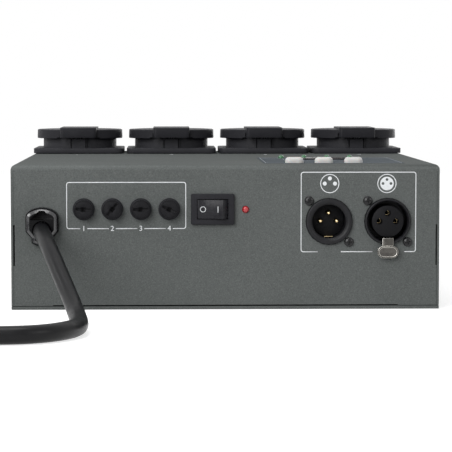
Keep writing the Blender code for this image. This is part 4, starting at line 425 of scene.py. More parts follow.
def baked(mesh, modifiers):
    """Mesh as a chain of modifiers leaves it, each given as its kind and settings."""
    holder = in_scene("holder", mesh)
    for kind, settings in modifiers:
        modifier = holder.modifiers.new(kind, kind)
        for key, value in settings.items():
            setattr(modifier, key, value)
    result = as_plain(holder)
    bpy.data.objects.remove(holder, do_unlink=True)
    return result


def eased(mesh, width, segments=2, angle=30.0):
    """Mesh with its hard edges rounded."""
    return baked(mesh, [("BEVEL", {
        "width": width, "segments": segments, "limit_method": "ANGLE",
        "angle_limit": math.radians(angle), "harden_normals": False})])


tie_inner = COIL_RADIUS - COIL_SPACING * (COIL_TURNS - 1) / 2 - LEAD_DIAMETER / 2 - 2 * TIE_GAP
tie_inner -= COIL_SPACING / 4
tie_outer = COIL_RADIUS - COIL_SPACING / 2 + LEAD_DIAMETER / 2 + TIE_GAP
tie_low = COIL_LOW - LEAD_DIAMETER / 2 - TIE_GAP / 2
tie_high = COIL_LOW + COIL_SPACING + LEAD_DIAMETER / 2 + TIE_GAP
tie_place = Vector((
    COIL_MIDDLE[0], COIL_MIDDLE[1] + (tie_inner + tie_outer) / 2, (tie_low + tie_high) / 2))


def tie_ring():
    """Loop round the turns, as wide as the strap."""
    width = tie_outer - tie_inner
    height = tie_high - tie_low
    corner = LEAD_DIAMETER / 2
    middle = rounded_outline(width + TIE_THICKNESS, height + TIE_THICKNESS, corner, 8)
    shape = bmesh.new()
    half = TIE_THICKNESS * 0.47
    rows = []
    for index, (y, z) in enumerate(middle):
        before = Vector(middle[index - 1])
        after = Vector(middle[(index + 1) % len(middle)])
        along = (after - before).normalized()
        out = Vector((along.y, -along.x))
        row = []
        for x, side in ((-0.5, -0.6), (-0.5, 0.6), (-0.47, 1.0), (0.47, 1.0),
                        (0.5, 0.6), (0.5, -0.6), (0.47, -1.0), (-0.47, -1.0)):
            point = Vector((y, z)) + out * half * side
            row.append(shape.verts.new((x * TIE_WIDTH, point.x, point.y)))
        rows.append(row)
    for index, row in enumerate(rows):
        following = rows[(index + 1) % len(rows)]
        for step in range(8):
            after = (step + 1) % 8
            shape.faces.new((row[step], row[after], following[after], following[step]))
    return outward(shape)


def banded(material, direction, scale, distortion):
    """Pattern of parallel bands through the piece."""
    tree = material.node_tree
    place = node(tree, "ShaderNodeTexCoord", {}, "Object")
    return node(tree, "ShaderNodeTexWave", {"Vector": place, "Scale": scale, "Distortion": distortion},
                "Fac", wave_type="BANDS", bands_direction=direction)


nylon_strap = finish("nylon_strap", (30, 30, 33), specular=0.25, more={"Roughness": 0.85})
weave = banded(nylon_strap, "X", 320.0, 1.5)
tinted(nylon_strap, ramped(nylon_strap, weave, 0.35, 0.9), (54, 54, 58))
bumped(nylon_strap, weave, 0.00012)
bumped(nylon_strap, speckle(nylon_strap, 0.0004), 0.00018)
coil_strap = piece(
    "coil_strap", tie_ring(), shift(*tie_place), nylon_strap, "pack", "soft_black", "coil_tie")


# Mains plug: two-pin round plug moulded on the lead in one piece of black rubber, with a
# ribbed tail, nickel-plated pins and two spring earth contacts in its side grooves.

PLUG_TAIL_LENGTH = 0.034
PLUG_HEAD_LENGTH = 0.022
PLUG_HEAD_RADIUS = 0.0186
PLUG_FACE_RADIUS = 0.0180
PLUG_TAIL_RADIUS = 0.0058
PLUG_PIN_RADIUS = 0.0024
PLUG_PIN_LENGTH = 0.019
PLUG_PIN_SPACING = 0.019
PLUG_GROOVE_WIDTH = 0.0062
PLUG_GROOVE_DEPTH = 0.0022
PLUG_EARTH_HOLE_OFFSET = 0.010
PLUG_RIBS = 6
plug_face = PLUG_TAIL_LENGTH + PLUG_HEAD_LENGTH
plug_place = shift(*(lead_line[-1] + Vector((0.0, 0.0003, 0.0)))) @ spin(-90, "X")


def turned(profile, steps=64):
    """Round body about Z from (radius, height) points that start and end on the axis."""
    shape = bmesh.new()
    rings = []
    for radius, height in profile:
        if radius < 1e-6:
            rings.append([shape.verts.new((0.0, 0.0, height))])
            continue
        turns = [2 * math.pi * index / steps for index in range(steps)]
        rings.append([shape.verts.new((radius * math.cos(t), radius * math.sin(t), height))
                      for t in turns])
    for upper, lower in zip(rings, rings[1:]):
        for index in range(steps):
            after = (index + 1) % steps
            corners = [upper[index % len(upper)], lower[index % len(lower)],
                       lower[after % len(lower)], upper[after % len(upper)]]
            corners = [v for i, v in enumerate(corners) if v not in corners[:i]]
            if len(corners) > 2:
                shape.faces.new(corners)
    return outward(shape)


def rod(radius, low, high, steps=32, centre=(0.0, 0.0), top_radius=None):
    """Cylinder or cone along Z between two heights."""
    top = radius if top_radius is None else top_radius
    mesh = turned([(0.0, high), (top, high), (radius, low), (0.0, low)], steps)
    mesh.transform(shift(*centre))
    return mesh


def block(corner, opposite):
    """Box between two opposite corners."""
    low, high = [Vector([pick(pair) for pair in zip(corner, opposite)]) for pick in (min, max)]
    shape = bmesh.new()
    bmesh.ops.create_cube(shape, size=1.0)
    bmesh.ops.scale(shape, vec=high - low, verts=shape.verts)
    bmesh.ops.translate(shape, vec=(high + low) / 2, verts=shape.verts)
    return meshed(shape)


def combined(mesh, others, operation):
    """Mesh joined with, cut by or limited to the other meshes, one after another."""
    tools = [in_scene("tool", other) for other in others]
    result = baked(mesh, [("BOOLEAN", {"operation": operation, "solver": "EXACT", "object": tool})
                          for tool in tools])
    for tool in tools:
        bpy.data.objects.remove(tool, do_unlink=True)
    return result


def cut(mesh, others):
    """Mesh with the others cut out of it."""
    return combined(mesh, others, "DIFFERENCE")


def joined(mesh, others):
    """One body made of the mesh and the others."""
    return combined(mesh, others, "UNION")


def gathered(meshes):
    """Separate solids kept together in one mesh."""
    shape = bmesh.new()
    for mesh in meshes:
        shape.from_mesh(mesh)
    return meshed(shape)


def plug_body():
    """Tapered ribbed tail and round head, with two earth grooves and an earth hole."""
    profile = [(0.0, plug_face), (PLUG_FACE_RADIUS - 0.0006, plug_face)]
    profile += [(PLUG_FACE_RADIUS, plug_face - 0.0005), (PLUG_HEAD_RADIUS, plug_face - 0.002)]
    profile += [(PLUG_HEAD_RADIUS, PLUG_TAIL_LENGTH + 0.0062)]
    profile += arc((PLUG_HEAD_RADIUS - 0.006, PLUG_TAIL_LENGTH + 0.006), 0.006, 0, -62, 6)
    profile += [(0.0105, PLUG_TAIL_LENGTH - 0.0022), (0.0088, PLUG_TAIL_LENGTH - 0.0060)]
    start = PLUG_TAIL_LENGTH - 0.0065
    pitch = start / PLUG_RIBS
    for index in range(PLUG_RIBS):
        radius = 0.0086 + (PLUG_TAIL_RADIUS - 0.0086) * index / PLUG_RIBS
        high = start - index * pitch
        profile += [(radius, high - 0.1 * pitch), (radius - 0.0001, high - 0.55 * pitch),
                    (radius - 0.0012, high - 0.65 * pitch), (radius - 0.0013, high - 0.9 * pitch)]
    profile += [(PLUG_TAIL_RADIUS - 0.0008, 0.0), (0.0, 0.0)]
    tools = []
    for side in (-1, 1):
        floor = side * (PLUG_HEAD_RADIUS - PLUG_GROOVE_DEPTH)
        tools.append(block(
            (-PLUG_GROOVE_WIDTH / 2, floor, PLUG_TAIL_LENGTH + 0.004),
            (PLUG_GROOVE_WIDTH / 2, side * 2 * PLUG_HEAD_RADIUS, plug_face + 0.002)))
    tools.append(rod(0.0025, plug_face - 0.0178, plug_face + 0.002, 32,
                     (0.0, PLUG_EARTH_HOLE_OFFSET)))
    return eased(cut(turned(profile, 72), [gathered(tools)]), 0.00025, 2, 35.0)


def plug_metal():
    """Pins with eased ends, and the two earth contacts that lie in the grooves."""
    tip = plug_face + PLUG_PIN_LENGTH
    profile = [(0.0, tip), (PLUG_PIN_RADIUS * 0.55, tip - 0.0002)]
    profile += [(PLUG_PIN_RADIUS * 0.86, tip - 0.0009), (PLUG_PIN_RADIUS, tip - 0.0022)]
    profile += [(PLUG_PIN_RADIUS, plug_face - 0.001), (0.0, plug_face - 0.001)]
    pieces = []
    for side in (-1, 1):
        pieces.append(placed(turned(profile, 28), shift(side * PLUG_PIN_SPACING / 2)))
        floor = PLUG_HEAD_RADIUS - PLUG_GROOVE_DEPTH
        spring = block((-0.0021, side * (floor + 0.0002), PLUG_TAIL_LENGTH + 0.0055),
                       (0.0021, side * (floor + 0.0009), plug_face - 0.0004))
        pieces.append(eased(spring, 0.0003, 2))
    return gathered(pieces)


plug_rubber = finish(
    "plug_rubber", (26, 26, 28), (0.004, 0.42, 0.58), specular=0.22,
    spots=[(0.009, 0.5, 0.8, (34, 34, 36))], grain=[(0.0005, 0.00006)])
bright_nickel = finish(
    "bright_nickel", (190, 188, 182), (0.0015, 0.16, 0.34, (1.0, 0.15, 1.0)), metallic=1.0,
    spots=[(0.003, 0.55, 0.8, (160, 155, 146))], grain=[(0.0004, 0.00001, (1.0, 0.1, 1.0))])
plug_shell = piece(
    "plug_shell", plug_body(), plug_place, plug_rubber, "pack", "soft_black", "mains_plug")
plug_pins = piece("plug_pins", plug_metal(), plug_place, bright_nickel, "pack", "nickel")


# Housing cover: one sheet of 1.2 mm steel folded down on four sides and welded at the corners,
# with a fine-textured grey powder coat. Seams show where the panel's sheet meets the sides.

HALF_WIDTH = 0.104
PANEL_BACK = PANEL_FRONT + 0.210
COVER_TOP = 0.0704
COVER_BOTTOM = 0.0018
SHEET = 0.0012
SEAM_WIDTH = 0.00022
SEAM_DEPTH = 0.00030
SEAM_SPANS = ((COVER_BOTTOM - SHEET, 0.0209), (0.0416, COVER_TOP - 0.0034))


def node_copy(name):
    """Copy of a CAD node's mesh with its loose triangles merged into flat faces."""
    shape = bmesh.new()
    shape.from_mesh(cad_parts[name].data)
    bmesh.ops.remove_doubles(shape, verts=shape.verts, dist=0.00001)
    bmesh.ops.dissolve_limit(
        shape, angle_limit=math.radians(0.4), verts=shape.verts, edges=shape.edges)
    return meshed(shape)


def evened(mesh):
    """Mesh whose large flat faces keep their own shading beside rounded edges."""
    mesh.shade_smooth()
    mesh.set_sharp_from_angle(angle=math.radians(CREASE))
    return baked(mesh, [("WEIGHTED_NORMAL", {"keep_sharp": True, "weight": 60})])


def cover_seams():
    """Fine grooves along the welded corners, on the panel and on the back."""
    grooves = []
    for side in (-1, 1):
        x = side * (HALF_WIDTH - SHEET)
        for face, inwards in ((PANEL_FRONT, 1), (PANEL_BACK, -1)):
            for low, high in SEAM_SPANS:
                grooves.append(block((x - SEAM_WIDTH / 2, face - inwards * SHEET, low),
                                     (x + SEAM_WIDTH / 2, face + inwards * SEAM_DEPTH, high)))
    return gathered(grooves)


powder_coat = finish(
    "powder_coat", (92, 95, 94), (0.0009, 0.64, 0.80), specular=0.003,
    spots=[(0.05, 0.45, 0.75, (96, 99, 98)),
           (0.00045, 0.54, 0.76, (108, 111, 110)),
           (0.00045, 0.46, 0.26, (80, 83, 82))],
    grain=[(0.00045, 0.00003), (0.0016, 0.00002)])
piece(
    "steel_cover", evened(cut(node_copy("housing_cover"), [cover_seams()])), AS_DRAWN, powder_coat,
    "pack", "powder_coat", "housing_cover", crease=None)


# Print on the cover: white screen-printed lines a few hundredths of a millimetre thick. They
# frame the fuses and the control connectors; plain numbers mark the fuses and the outlets.

INK_THICKNESS = 0.00003
INK_WIDTH = 0.00042
FUSE_PLACES = (-0.0688, -0.0550, -0.0412, -0.0274)
SOCKET_PLACES = (-0.078, -0.026, 0.026, 0.078)
FUSE_FRAME = (-0.0770, 0.0394, -0.0194, 0.0618)
CONNECTOR_FRAME = (0.0366, 0.0279, 0.0924, 0.0666)
CONNECTOR_FRAME_GAPS = ((0.0447, 0.0560), (0.0714, 0.0869))
FRAME_CORNER = 0.0011
NUMBER_HEIGHT = 0.0026
NUMBER_GAP = 0.0034
SOCKET_NUMBER_HEIGHT = 0.0036
SOCKET_NUMBER_Y = 0.0388
PICTOGRAM_PLACES = (0.0505, 0.0783)
PICTOGRAM_HEIGHT = 0.0611
PICTOGRAM_RADIUS = 0.00445
PICTOGRAM_PINS = 0.0025


def panel_place(x=0.0, z=0.0, proud=0.0):
    """Place on the connector panel: X right, Y up and Z out of the panel."""
    return shift(x, PANEL_FRONT - proud, z) @ spin(90, "X")


def top_place(x=0.0, y=0.0, proud=0.0):
    """Place on the cover's top face."""
    return shift(x, y, COVER_TOP + proud)


def ink_tree():
    """Flat printed line along a drawn one."""
    tree, taken = new_tree("ink_line", {"Width": "Float", "Thickness": "Float"})
    along = node(tree, "GeometryNodeMeshToCurve", {"Mesh": taken["Geometry"]})
    level = node(tree, "GeometryNodeSetCurveNormal", {"Curve": along}, mode="Z_UP")
    edge = node(tree, "GeometryNodeCurvePrimitiveLine", {
        "Start": (-0.5, 0.0, 0.0), "End": (0.5, 0.0, 0.0)})
    scale = node(tree, "ShaderNodeCombineXYZ", {axis: taken["Width"] for axis in "XYZ"})
    sized = node(tree, "GeometryNodeTransform", {"Geometry": edge, "Scale": scale})
    ribbon = node(tree, "GeometryNodeCurveToMesh", {"Curve": level, "Profile Curve": sized})
    up = node(tree, "ShaderNodeCombineXYZ", {"Z": 1.0})
    return ended(tree, taken, node(tree, "GeometryNodeExtrudeMesh", {
        "Mesh": ribbon, "Offset": up, "Offset Scale": taken["Thickness"], "Individual": False}))


def ring_line(x, y, radius, steps=48):
    """Closed circle."""
    return arc((x, y), radius, 0, 360, steps)


def framed(bounds, gaps):
    """Rectangle with round corners, open in its bottom line at the gaps."""
    left, low, right, high = bounds
    r = FRAME_CORNER
    around = arc((right - r, low + r), r, -90, 0, 6) + arc((right - r, high - r), r, 0, 90, 6)
    around += arc((left + r, high - r), r, 90, 180, 6) + arc((left + r, low + r), r, 180, 270, 6)
    stops = [left + r] + [x for gap in gaps for x in gap] + [right - r]
    lines = [[(stops[-2], low)] + around + [(stops[1], low)]]
    lines += [[(start, low), (end, low)] for start, end in zip(stops[2:-2:2], stops[3:-2:2])]
    return lines


def numeral(text, height, place):
    """Printed figure, centred on its place."""
    letters = bpy.data.curves.new("numeral", "FONT")
    letters.body = text
    letters.size = height * 1.37
    letters.align_x = "CENTER"
    letters.align_y = "CENTER"
    letters.extrude = INK_THICKNESS / 2
    letters.resolution_u = 4
    holder = in_scene("numeral", letters)
    mesh = as_plain(holder)
    bpy.data.objects.remove(holder, do_unlink=True)
    mesh.transform(place @ shift(z=INK_THICKNESS))
    return mesh


white_ink = finish(
    "white_ink", (222, 225, 227), (0.001, 0.48, 0.62), specular=0.35,
    spots=[(0.0006, 0.55, 0.75, (196, 199, 201))], grain=[(0.0005, 0.00003)])

number_gaps = [(x - NUMBER_GAP / 2, x + NUMBER_GAP / 2) for x in FUSE_PLACES]
pin_spots = [(-PICTOGRAM_PINS, 0.0), (0.0, PICTOGRAM_PINS), (PICTOGRAM_PINS, 0.0)]
printed_lines = framed(FUSE_FRAME, number_gaps) + framed(CONNECTOR_FRAME, CONNECTOR_FRAME_GAPS)
printed_lines += [ring_line(x, PICTOGRAM_HEIGHT, PICTOGRAM_RADIUS) for x in PICTOGRAM_PLACES]
grown(drawn_lines("panel_lines", printed_lines), ink_tree(),
      {"Width": INK_WIDTH, "Thickness": INK_THICKNESS, "Finish": white_ink}, "powder_coat",
      place=panel_place(proud=INK_THICKNESS / 3))

figures = []
for x, text in zip(FUSE_PLACES, "1234"):
    figures.append(numeral(text, NUMBER_HEIGHT, panel_place(x, FUSE_FRAME[1])))
for x, text in zip(SOCKET_PLACES, "1234"):
    figures.append(numeral(text, SOCKET_NUMBER_HEIGHT, top_place(x, SOCKET_NUMBER_Y)))
for x, y in pin_spots:
    spot = rod(0.00098, INK_THICKNESS / 3, INK_THICKNESS * 1.3, 20)
    figures.append(placed(spot, panel_place(PICTOGRAM_PLACES[0] + x, PICTOGRAM_HEIGHT + y)))
disc = rod(0.0033, INK_THICKNESS / 3, INK_THICKNESS * 1.3, 48)
holes = [rod(0.00068, -INK_THICKNESS, 3 * INK_THICKNESS, 20, (x * 0.78, y * 0.78))
         for x, y in pin_spots]
drilled = cut(disc, [gathered(holes)])
figures.append(placed(drilled, panel_place(PICTOGRAM_PLACES[1], PICTOGRAM_HEIGHT)))
piece("printed_figures", gathered(figures), AS_DRAWN, white_ink, "pack", "powder_coat")


# Base plate: flat 1.5 mm steel sheet with pressed studs, in the cover's powder coat, and its
# eight countersunk cross-head screws of plated steel, driven from below into the cover's folds.

BASE_SCREWS = (
    (-0.060, -0.0955), (0.060, -0.0955), (-0.060, 0.1025), (0.060, 0.1025),
    (-0.098, -0.0415), (0.098, -0.0415), (-0.098, 0.0485), (0.098, 0.0485))


def slab(half_x, half_y, low, high, centre=(0.0, 0.0)):
    """Box about an upright line, between two heights."""
    x, y = centre
    return block((x - half_x, y - half_y, low), (x + half_x, y + half_y, high))


def cross_recess(depth, reach):
    """Cross-head driver socket, its mouth at height 0: four tapered wings round a pit."""
    wing = slab(reach, reach * 0.22, -depth * 0.8, depth)
    for vertex in wing.vertices:
        if vertex.co.z < 0:
            vertex.co.x *= 0.55
    pit = rod(reach * 0.2, -depth * 1.15, -depth * 0.5, 12, top_radius=reach * 0.38)
    return joined(wing, [placed(wing, spin(90, "Z")), pit])


def sunk_screw(head_radius, shank_radius, length):
    """Countersunk cross-head screw, its flat head's face at height 0, threaded shank below."""
    cone = (head_radius - shank_radius) * 1.05
    profile = [(0.0, 0.0), (head_radius - 0.00008, 0.0), (head_radius, -0.00012)]
    profile += [(shank_radius, -cone)]
    depth = -cone
    pitch = shank_radius * 0.42
    while depth > -length:
        profile += [(shank_radius * 0.84, depth - pitch * 0.5), (shank_radius, depth - pitch)]
        depth -= pitch
    profile += [(0.0, depth)]
    return cut(turned(profile, 24), [cross_recess(cone * 0.85, head_radius * 0.62)])


def screws_tree():
    """One screw at each point, each turned as it happened to stop."""
    tree, taken = new_tree("screws_at_points", {"Screw": "Object"})
    stop = tree.nodes.new("FunctionNodeRandomValue")
    stop.inputs["Min"].default_value = 0.0
    stop.inputs["Max"].default_value = math.pi
    stop.inputs["Seed"].default_value = 7
    angle = [socket for socket in stop.outputs if socket.enabled][0]
    return ended(tree, taken, node(tree, "GeometryNodeInstanceOnPoints", {
        "Points": node(tree, "GeometryNodeMeshToPoints", {"Mesh": taken["Geometry"]}),
        "Instance": node(tree, "GeometryNodeObjectInfo", {"Object": taken["Screw"]}, "Geometry",
                         transform_space="ORIGINAL"),
        "Rotation": node(tree, "ShaderNodeCombineXYZ", {"Z": angle})}))


screw_layout = screws_tree()


def screws(name, sample, points, place, material, slot):
    """Screws of one kind, riding on the pack."""
    mesh = bpy.data.meshes.new(name)
    mesh.from_pydata(points, [], [])
    sample.shade_smooth()
    sample.set_sharp_from_angle(angle=math.radians(30))
    holder = in_scene("screw", sample)
    values = {"Screw": holder, "Finish": material}
    grown(in_scene(name, mesh), screw_layout, values, slot, place=place)
    bpy.data.objects.remove(holder, do_unlink=True)


piece(
    "bottom_plate", evened(node_copy("base_plate")), AS_DRAWN, powder_coat, "pack", "powder_coat",
    "base_plate", crease=None)
zinc_plate = finish(
    "zinc_plate", (176, 178, 176), (0.0006, 0.24, 0.42), metallic=1.0,
    spots=[(0.0012, 0.5, 0.75, (146, 147, 142))], grain=[(0.0003, 0.00001)])
underside = shift(z=0.00008) @ spin(180, "X")
screws("base_screws", sunk_screw(0.0028, 0.0012, 0.0040),
       [(x, -y, 0.0) for x, y in BASE_SCREWS], underside, zinc_plate, "plated_steel")


# Outlet bodies: black moulded sockets dropped into the cover from above, each with a square
# flange, a round collar round the plug's well, two keys, and lugs for the lid's pin in front.

SOCKET_Y = 0.0775
SOCKET_STEPS = 96
FLANGE_SIZE = 0.050
FLANGE_CORNER = 0.004
FLANGE_LOW = 0.0003
FLANGE_HIGH = 0.0031
COLLAR_RADIUS = 0.0207
COLLAR_HEIGHT = 0.0109
WELL_RADIUS = 0.0193
WELL_FLOOR = 0.0066
SOCKET_DEPTH = 0.0206
PIN_HOLE_RADIUS = 0.0026
PIN_HOLE_SPACING = 0.019
KEY_WIDTH = 0.0048
KEY_REACH = 0.0026
HINGE_FORWARD = 0.0242
HINGE_HEIGHT = 0.0102
HINGE_BORE_RADIUS = 0.0012
LUG_RADIUS = 0.0018
LUG_INNER = 0.0028
LUG_OUTER = 0.0047
RIB_TOP = 0.0086
RIB_GROOVE = 0.0041
SCREW_SPACING = 0.038
BRACKET_SLOT = (0.0174, 0.0190, 0.0034)    # from, to, half width
collar_middle = (COLLAR_RADIUS + WELL_RADIUS) / 2
pivot = Vector((0.0, -HINGE_FORWARD, HINGE_HEIGHT))
screw_spots = [(x, y, 0.0) for x in (-SCREW_SPACING / 2, SCREW_SPACING / 2)
               for y in (-SCREW_SPACING / 2, SCREW_SPACING / 2)]


def stacked_outlines(rows):
    """Body through several outlines of (x, y) points, each given with its height."""
    shape = bmesh.new()
    rings = [[shape.verts.new((x, y, z)) for x, y in outline] for z, outline in rows]
    for lower, upper in zip(rings, rings[1:]):
        for index in range(len(lower)):
            after = (index + 1) % len(lower)
            shape.faces.new((lower[index], lower[after], upper[after], upper[index]))
    shape.faces.new(rings[0][::-1])
    shape.faces.new(rings[-1])
    return outward(shape)


def prism(outline, low, high):
    """Flat outline of (x, y) points, extruded between two heights."""
    return stacked_outlines([(low, outline), (high, outline)])


def side_prism(outline, half_width):
    """Outline of (y, z) points, extruded along X to both sides."""
    mesh = prism(outline, -half_width, half_width)
    mesh.transform(Matrix(((0, 0, 1, 0), (1, 0, 0, 0), (0, 1, 0, 0), (0, 0, 0, 1))))
    return mesh


def across_at(mesh, centre):
    """Body drawn about Z, laid along X through a point."""
    return placed(mesh, shift(*centre) @ spin(90, "Y"))


def outlet_flange():
    """Square flange with a soft upper edge, open for the collar."""
    plate = prism(rounded_outline(FLANGE_SIZE, FLANGE_SIZE, FLANGE_CORNER, 8), FLANGE_LOW,
                  FLANGE_HIGH)
    plate = eased(plate, 0.00022, 2, 50.0)
    return cut(plate, [rod(collar_middle, -0.001, 0.01, SOCKET_STEPS)])


def outlet_barrel():
    """Collar and well in one turned form, with eased rims."""
    ease = 0.00035
    profile = [(0.0, -WELL_FLOOR), (WELL_RADIUS - 0.0006, -WELL_FLOOR)]
    profile += [(WELL_RADIUS, -WELL_FLOOR + 0.0006), (WELL_RADIUS, COLLAR_HEIGHT - ease)]
    profile += [(WELL_RADIUS + ease * 0.4, COLLAR_HEIGHT - ease * 0.3)]
    profile += [(WELL_RADIUS + ease, COLLAR_HEIGHT), (COLLAR_RADIUS - ease, COLLAR_HEIGHT)]
    profile += [(COLLAR_RADIUS - ease * 0.3, COLLAR_HEIGHT - ease * 0.3)]
    profile += [(COLLAR_RADIUS, COLLAR_HEIGHT - ease), (COLLAR_RADIUS, -SOCKET_DEPTH + 0.0006)]
    profile += [(COLLAR_RADIUS - 0.0006, -SOCKET_DEPTH), (0.0, -SOCKET_DEPTH)]
    return turned(profile, SOCKET_STEPS)


def outlet_details():
    """Keys in the well, rib under the hinge, and the two lugs that hold the pin."""
    key = block((WELL_RADIUS - KEY_REACH, -KEY_WIDTH / 2, -WELL_FLOOR - 0.0003),
                (collar_middle, KEY_WIDTH / 2, COLLAR_HEIGHT - 0.001))
    key = eased(key, 0.0003, 2)
    rib = block((-LUG_OUTER, -COLLAR_RADIUS - 0.001, FLANGE_HIGH - 0.0008),
                (LUG_OUTER, -collar_middle, RIB_TOP))
    front = arc((pivot.y, pivot.z), LUG_RADIUS, 75, 270, 14)
    outline = front + [(-collar_middle, pivot.z - LUG_RADIUS), (-collar_middle, COLLAR_HEIGHT - 0.0003)]
    cheek = eased(side_prism(outline, (LUG_OUTER - LUG_INNER) / 2), 0.00018, 2)
    middle = (LUG_OUTER + LUG_INNER) / 2
    cheeks = [placed(cheek, shift(side * middle)) for side in (-1, 1)]
    return [key, placed(key, spin(180, "Z")), eased(rib, 0.0002, 2)] + cheeks


def outlet_openings():
    """Pin holes with eased mouths, slots for the earth springs, screw seats and pin bore."""
    tools = []
    for side in (-1, 1):
        place = (side * PIN_HOLE_SPACING / 2, 0.0)
        hole = rod(PIN_HOLE_RADIUS, -WELL_FLOOR - 0.013, 0.0, 32, place)
        mouth = rod(PIN_HOLE_RADIUS - 0.0002, -WELL_FLOOR - 0.0008, -WELL_FLOOR + 0.0004, 32, place,
                    PIN_HOLE_RADIUS + 0.0007)
        tools.append(joined(hole, [mouth]))
        tools.append(block((-BRACKET_SLOT[2], side * BRACKET_SLOT[0], -SOCKET_DEPTH - 0.001),
                           (BRACKET_SLOT[2], side * BRACKET_SLOT[1], 0.0)))
    for side in (-1, 1):
        tools.append(block((side * RIB_GROOVE - 0.0003, -COLLAR_RADIUS - 0.002, FLANGE_HIGH),
                           (side * RIB_GROOVE + 0.0003, -COLLAR_RADIUS + 0.0007, 0.0084)))
    for x, y, _ in screw_spots:
        cone = rod(0.0016, FLANGE_HIGH - 0.0016, FLANGE_HIGH + 0.0012, 32, (x, y), 0.0044)
        shaft = rod(0.0016, -0.001, FLANGE_HIGH - 0.0015, 32, (x, y))
        tools.append(joined(cone, [shaft]))
    tools.append(across_at(rod(HINGE_BORE_RADIUS, -0.02, 0.02, 24), pivot))
    return tools


moulded_black = finish(
    "moulded_black", (39, 39, 42), (0.0018, 0.40, 0.56), specular=0.10,
    spots=[(0.012, 0.45, 0.8, (44, 44, 47)), (0.00035, 0.6, 0.78, (54, 54, 58))],
    grain=[(0.00035, 0.00005)])
# The outlet bodies take a lighter copy of the lids' black plastic: painted light that lifts the shade
# cast under the lids onto flange, collar and rib.
outlet_black = finish(
    "outlet_black", (48, 48, 51), (0.0018, 0.44, 0.60), specular=0.12,
    spots=[(0.012, 0.45, 0.8, (52, 52, 55)), (0.0004, 0.6, 0.78, (62, 62, 66))],
    grain=[(0.0004, 0.00005)])
outlet_solid = joined(outlet_flange(), [outlet_barrel()] + outlet_details())
outlet = cut(outlet_solid, [gathered(outlet_openings())])
for number, x in enumerate(SOCKET_PLACES, start=1):
    piece(
        f"outlet_{number}", outlet, top_place(x, SOCKET_Y), outlet_black, "pack", "black_plastic",
        f"socket_body_{number}")


# Outlet screws: four black countersunk cross-head screws hold each flange to the cover.

blackened_steel = finish(
    "blackened_steel", (44, 44, 46), (0.0005, 0.30, 0.5), metallic=0.9,
    spots=[(0.0007, 0.55, 0.8, (84, 83, 82))], grain=[(0.0003, 0.00001)])
outlet_screw_points = [(px + x, py + SOCKET_Y, 0.0) for px in SOCKET_PLACES
                       for x, py, _ in screw_spots]
screws("outlet_screws", sunk_screw(0.0029, 0.0013, 0.0046), outlet_screw_points,
       top_place(proud=FLANGE_HIGH - 0.00012), blackened_steel, "black_plastic")


# Outlet lids: round black flaps with a raised band that ends in the hinge block. Each turns
# about a steel pin in its body's lugs and is shut by a spring wound round that pin.

LID_RADIUS = 0.02415
LID_TOP_RADIUS = 0.0240
LID_RIM = 0.0084
LID_TOP = 0.0138
LID_INSIDE = 0.0114
LID_SKIRT = 0.0212
BAND_HALF = 0.0101
BAND_TOP = 0.0146
BAND_BACK = 0.0125
BLOCK_FRONT = 0.0274
BLOCK_BACK = 0.0226
BLOCK_LOW = 0.0091
LIP_REACH = 0.0265


def lid_disc():
    """Slightly crowned disc with a skirt, its rims eased."""
    profile = [(0.0, LID_TOP)]
    for share in (0.3, 0.6, 0.85):
        profile.append((LID_TOP_RADIUS * share, LID_TOP - 0.0004 * share ** 3))
    profile += [(LID_TOP_RADIUS - 0.0006, LID_TOP - 0.00040)]
    profile += [(LID_TOP_RADIUS - 0.0002, LID_TOP - 0.00052), (LID_TOP_RADIUS, LID_TOP - 0.0008)]
    profile += [(LID_RADIUS, LID_RIM + 0.0003), (LID_RADIUS - 0.0002, LID_RIM)]
    profile += [(LID_SKIRT + 0.0002, LID_RIM), (LID_SKIRT, LID_RIM + 0.0002)]
    profile += [(LID_SKIRT, LID_INSIDE), (0.0, LID_INSIDE)]
    return turned(profile, SOCKET_STEPS)


def lid_band():
    """Raised band across the lid; its front end is the rounded hinge block."""
    outline = [(-BLOCK_BACK, BLOCK_LOW), (-BLOCK_BACK, 0.0125), (BAND_BACK, 0.0125)]
    outline += [(BAND_BACK, BAND_TOP - 0.0006), (BAND_BACK - 0.0006, BAND_TOP)]
    outline += arc((-BLOCK_FRONT + 0.001, BAND_TOP - 0.001), 0.001, 90, 180, 5)
    outline += [(-BLOCK_FRONT, BLOCK_LOW)]
    body = side_prism(outline, BAND_HALF)
    length = BAND_BACK + BLOCK_FRONT
    plan = prism(rounded_outline(2 * BAND_HALF, length, 0.002, 8), 0.0, 0.03)
    plan.transform(shift(y=(BAND_BACK - BLOCK_FRONT) / 2))
    return eased(combined(body, [plan], "INTERSECT"), 0.0004, 3, 40.0)


def lid_clearances():
    """Room for the lugs, the spring and the collar, and the bore of the pin."""
    half = LUG_OUTER + 0.0004
    back = -collar_middle + 0.0008
    cavity = across_at(rod(LUG_RADIUS + 0.0006, -half, half, 40), pivot)
    throat = block((-half, pivot.y, LID_RIM - 0.0004), (half, back, pivot.z + LUG_RADIUS + 0.0004))
    gateway = block((-BAND_HALF - 0.0004, -BLOCK_BACK, LID_RIM - 0.0004),
                    (BAND_HALF + 0.0004, back, LID_INSIDE))
    relief = block((-BAND_HALF - 0.0019, -LID_RADIUS - 0.0004, LID_RIM - 0.0004),
                   (BAND_HALF + 0.0019, -LID_RADIUS + 0.0072, BLOCK_LOW))
    bore = across_at(rod(HINGE_BORE_RADIUS, -LID_RADIUS, LID_RADIUS, 24), pivot)
    return [gateway, relief, throat, cavity, bore]


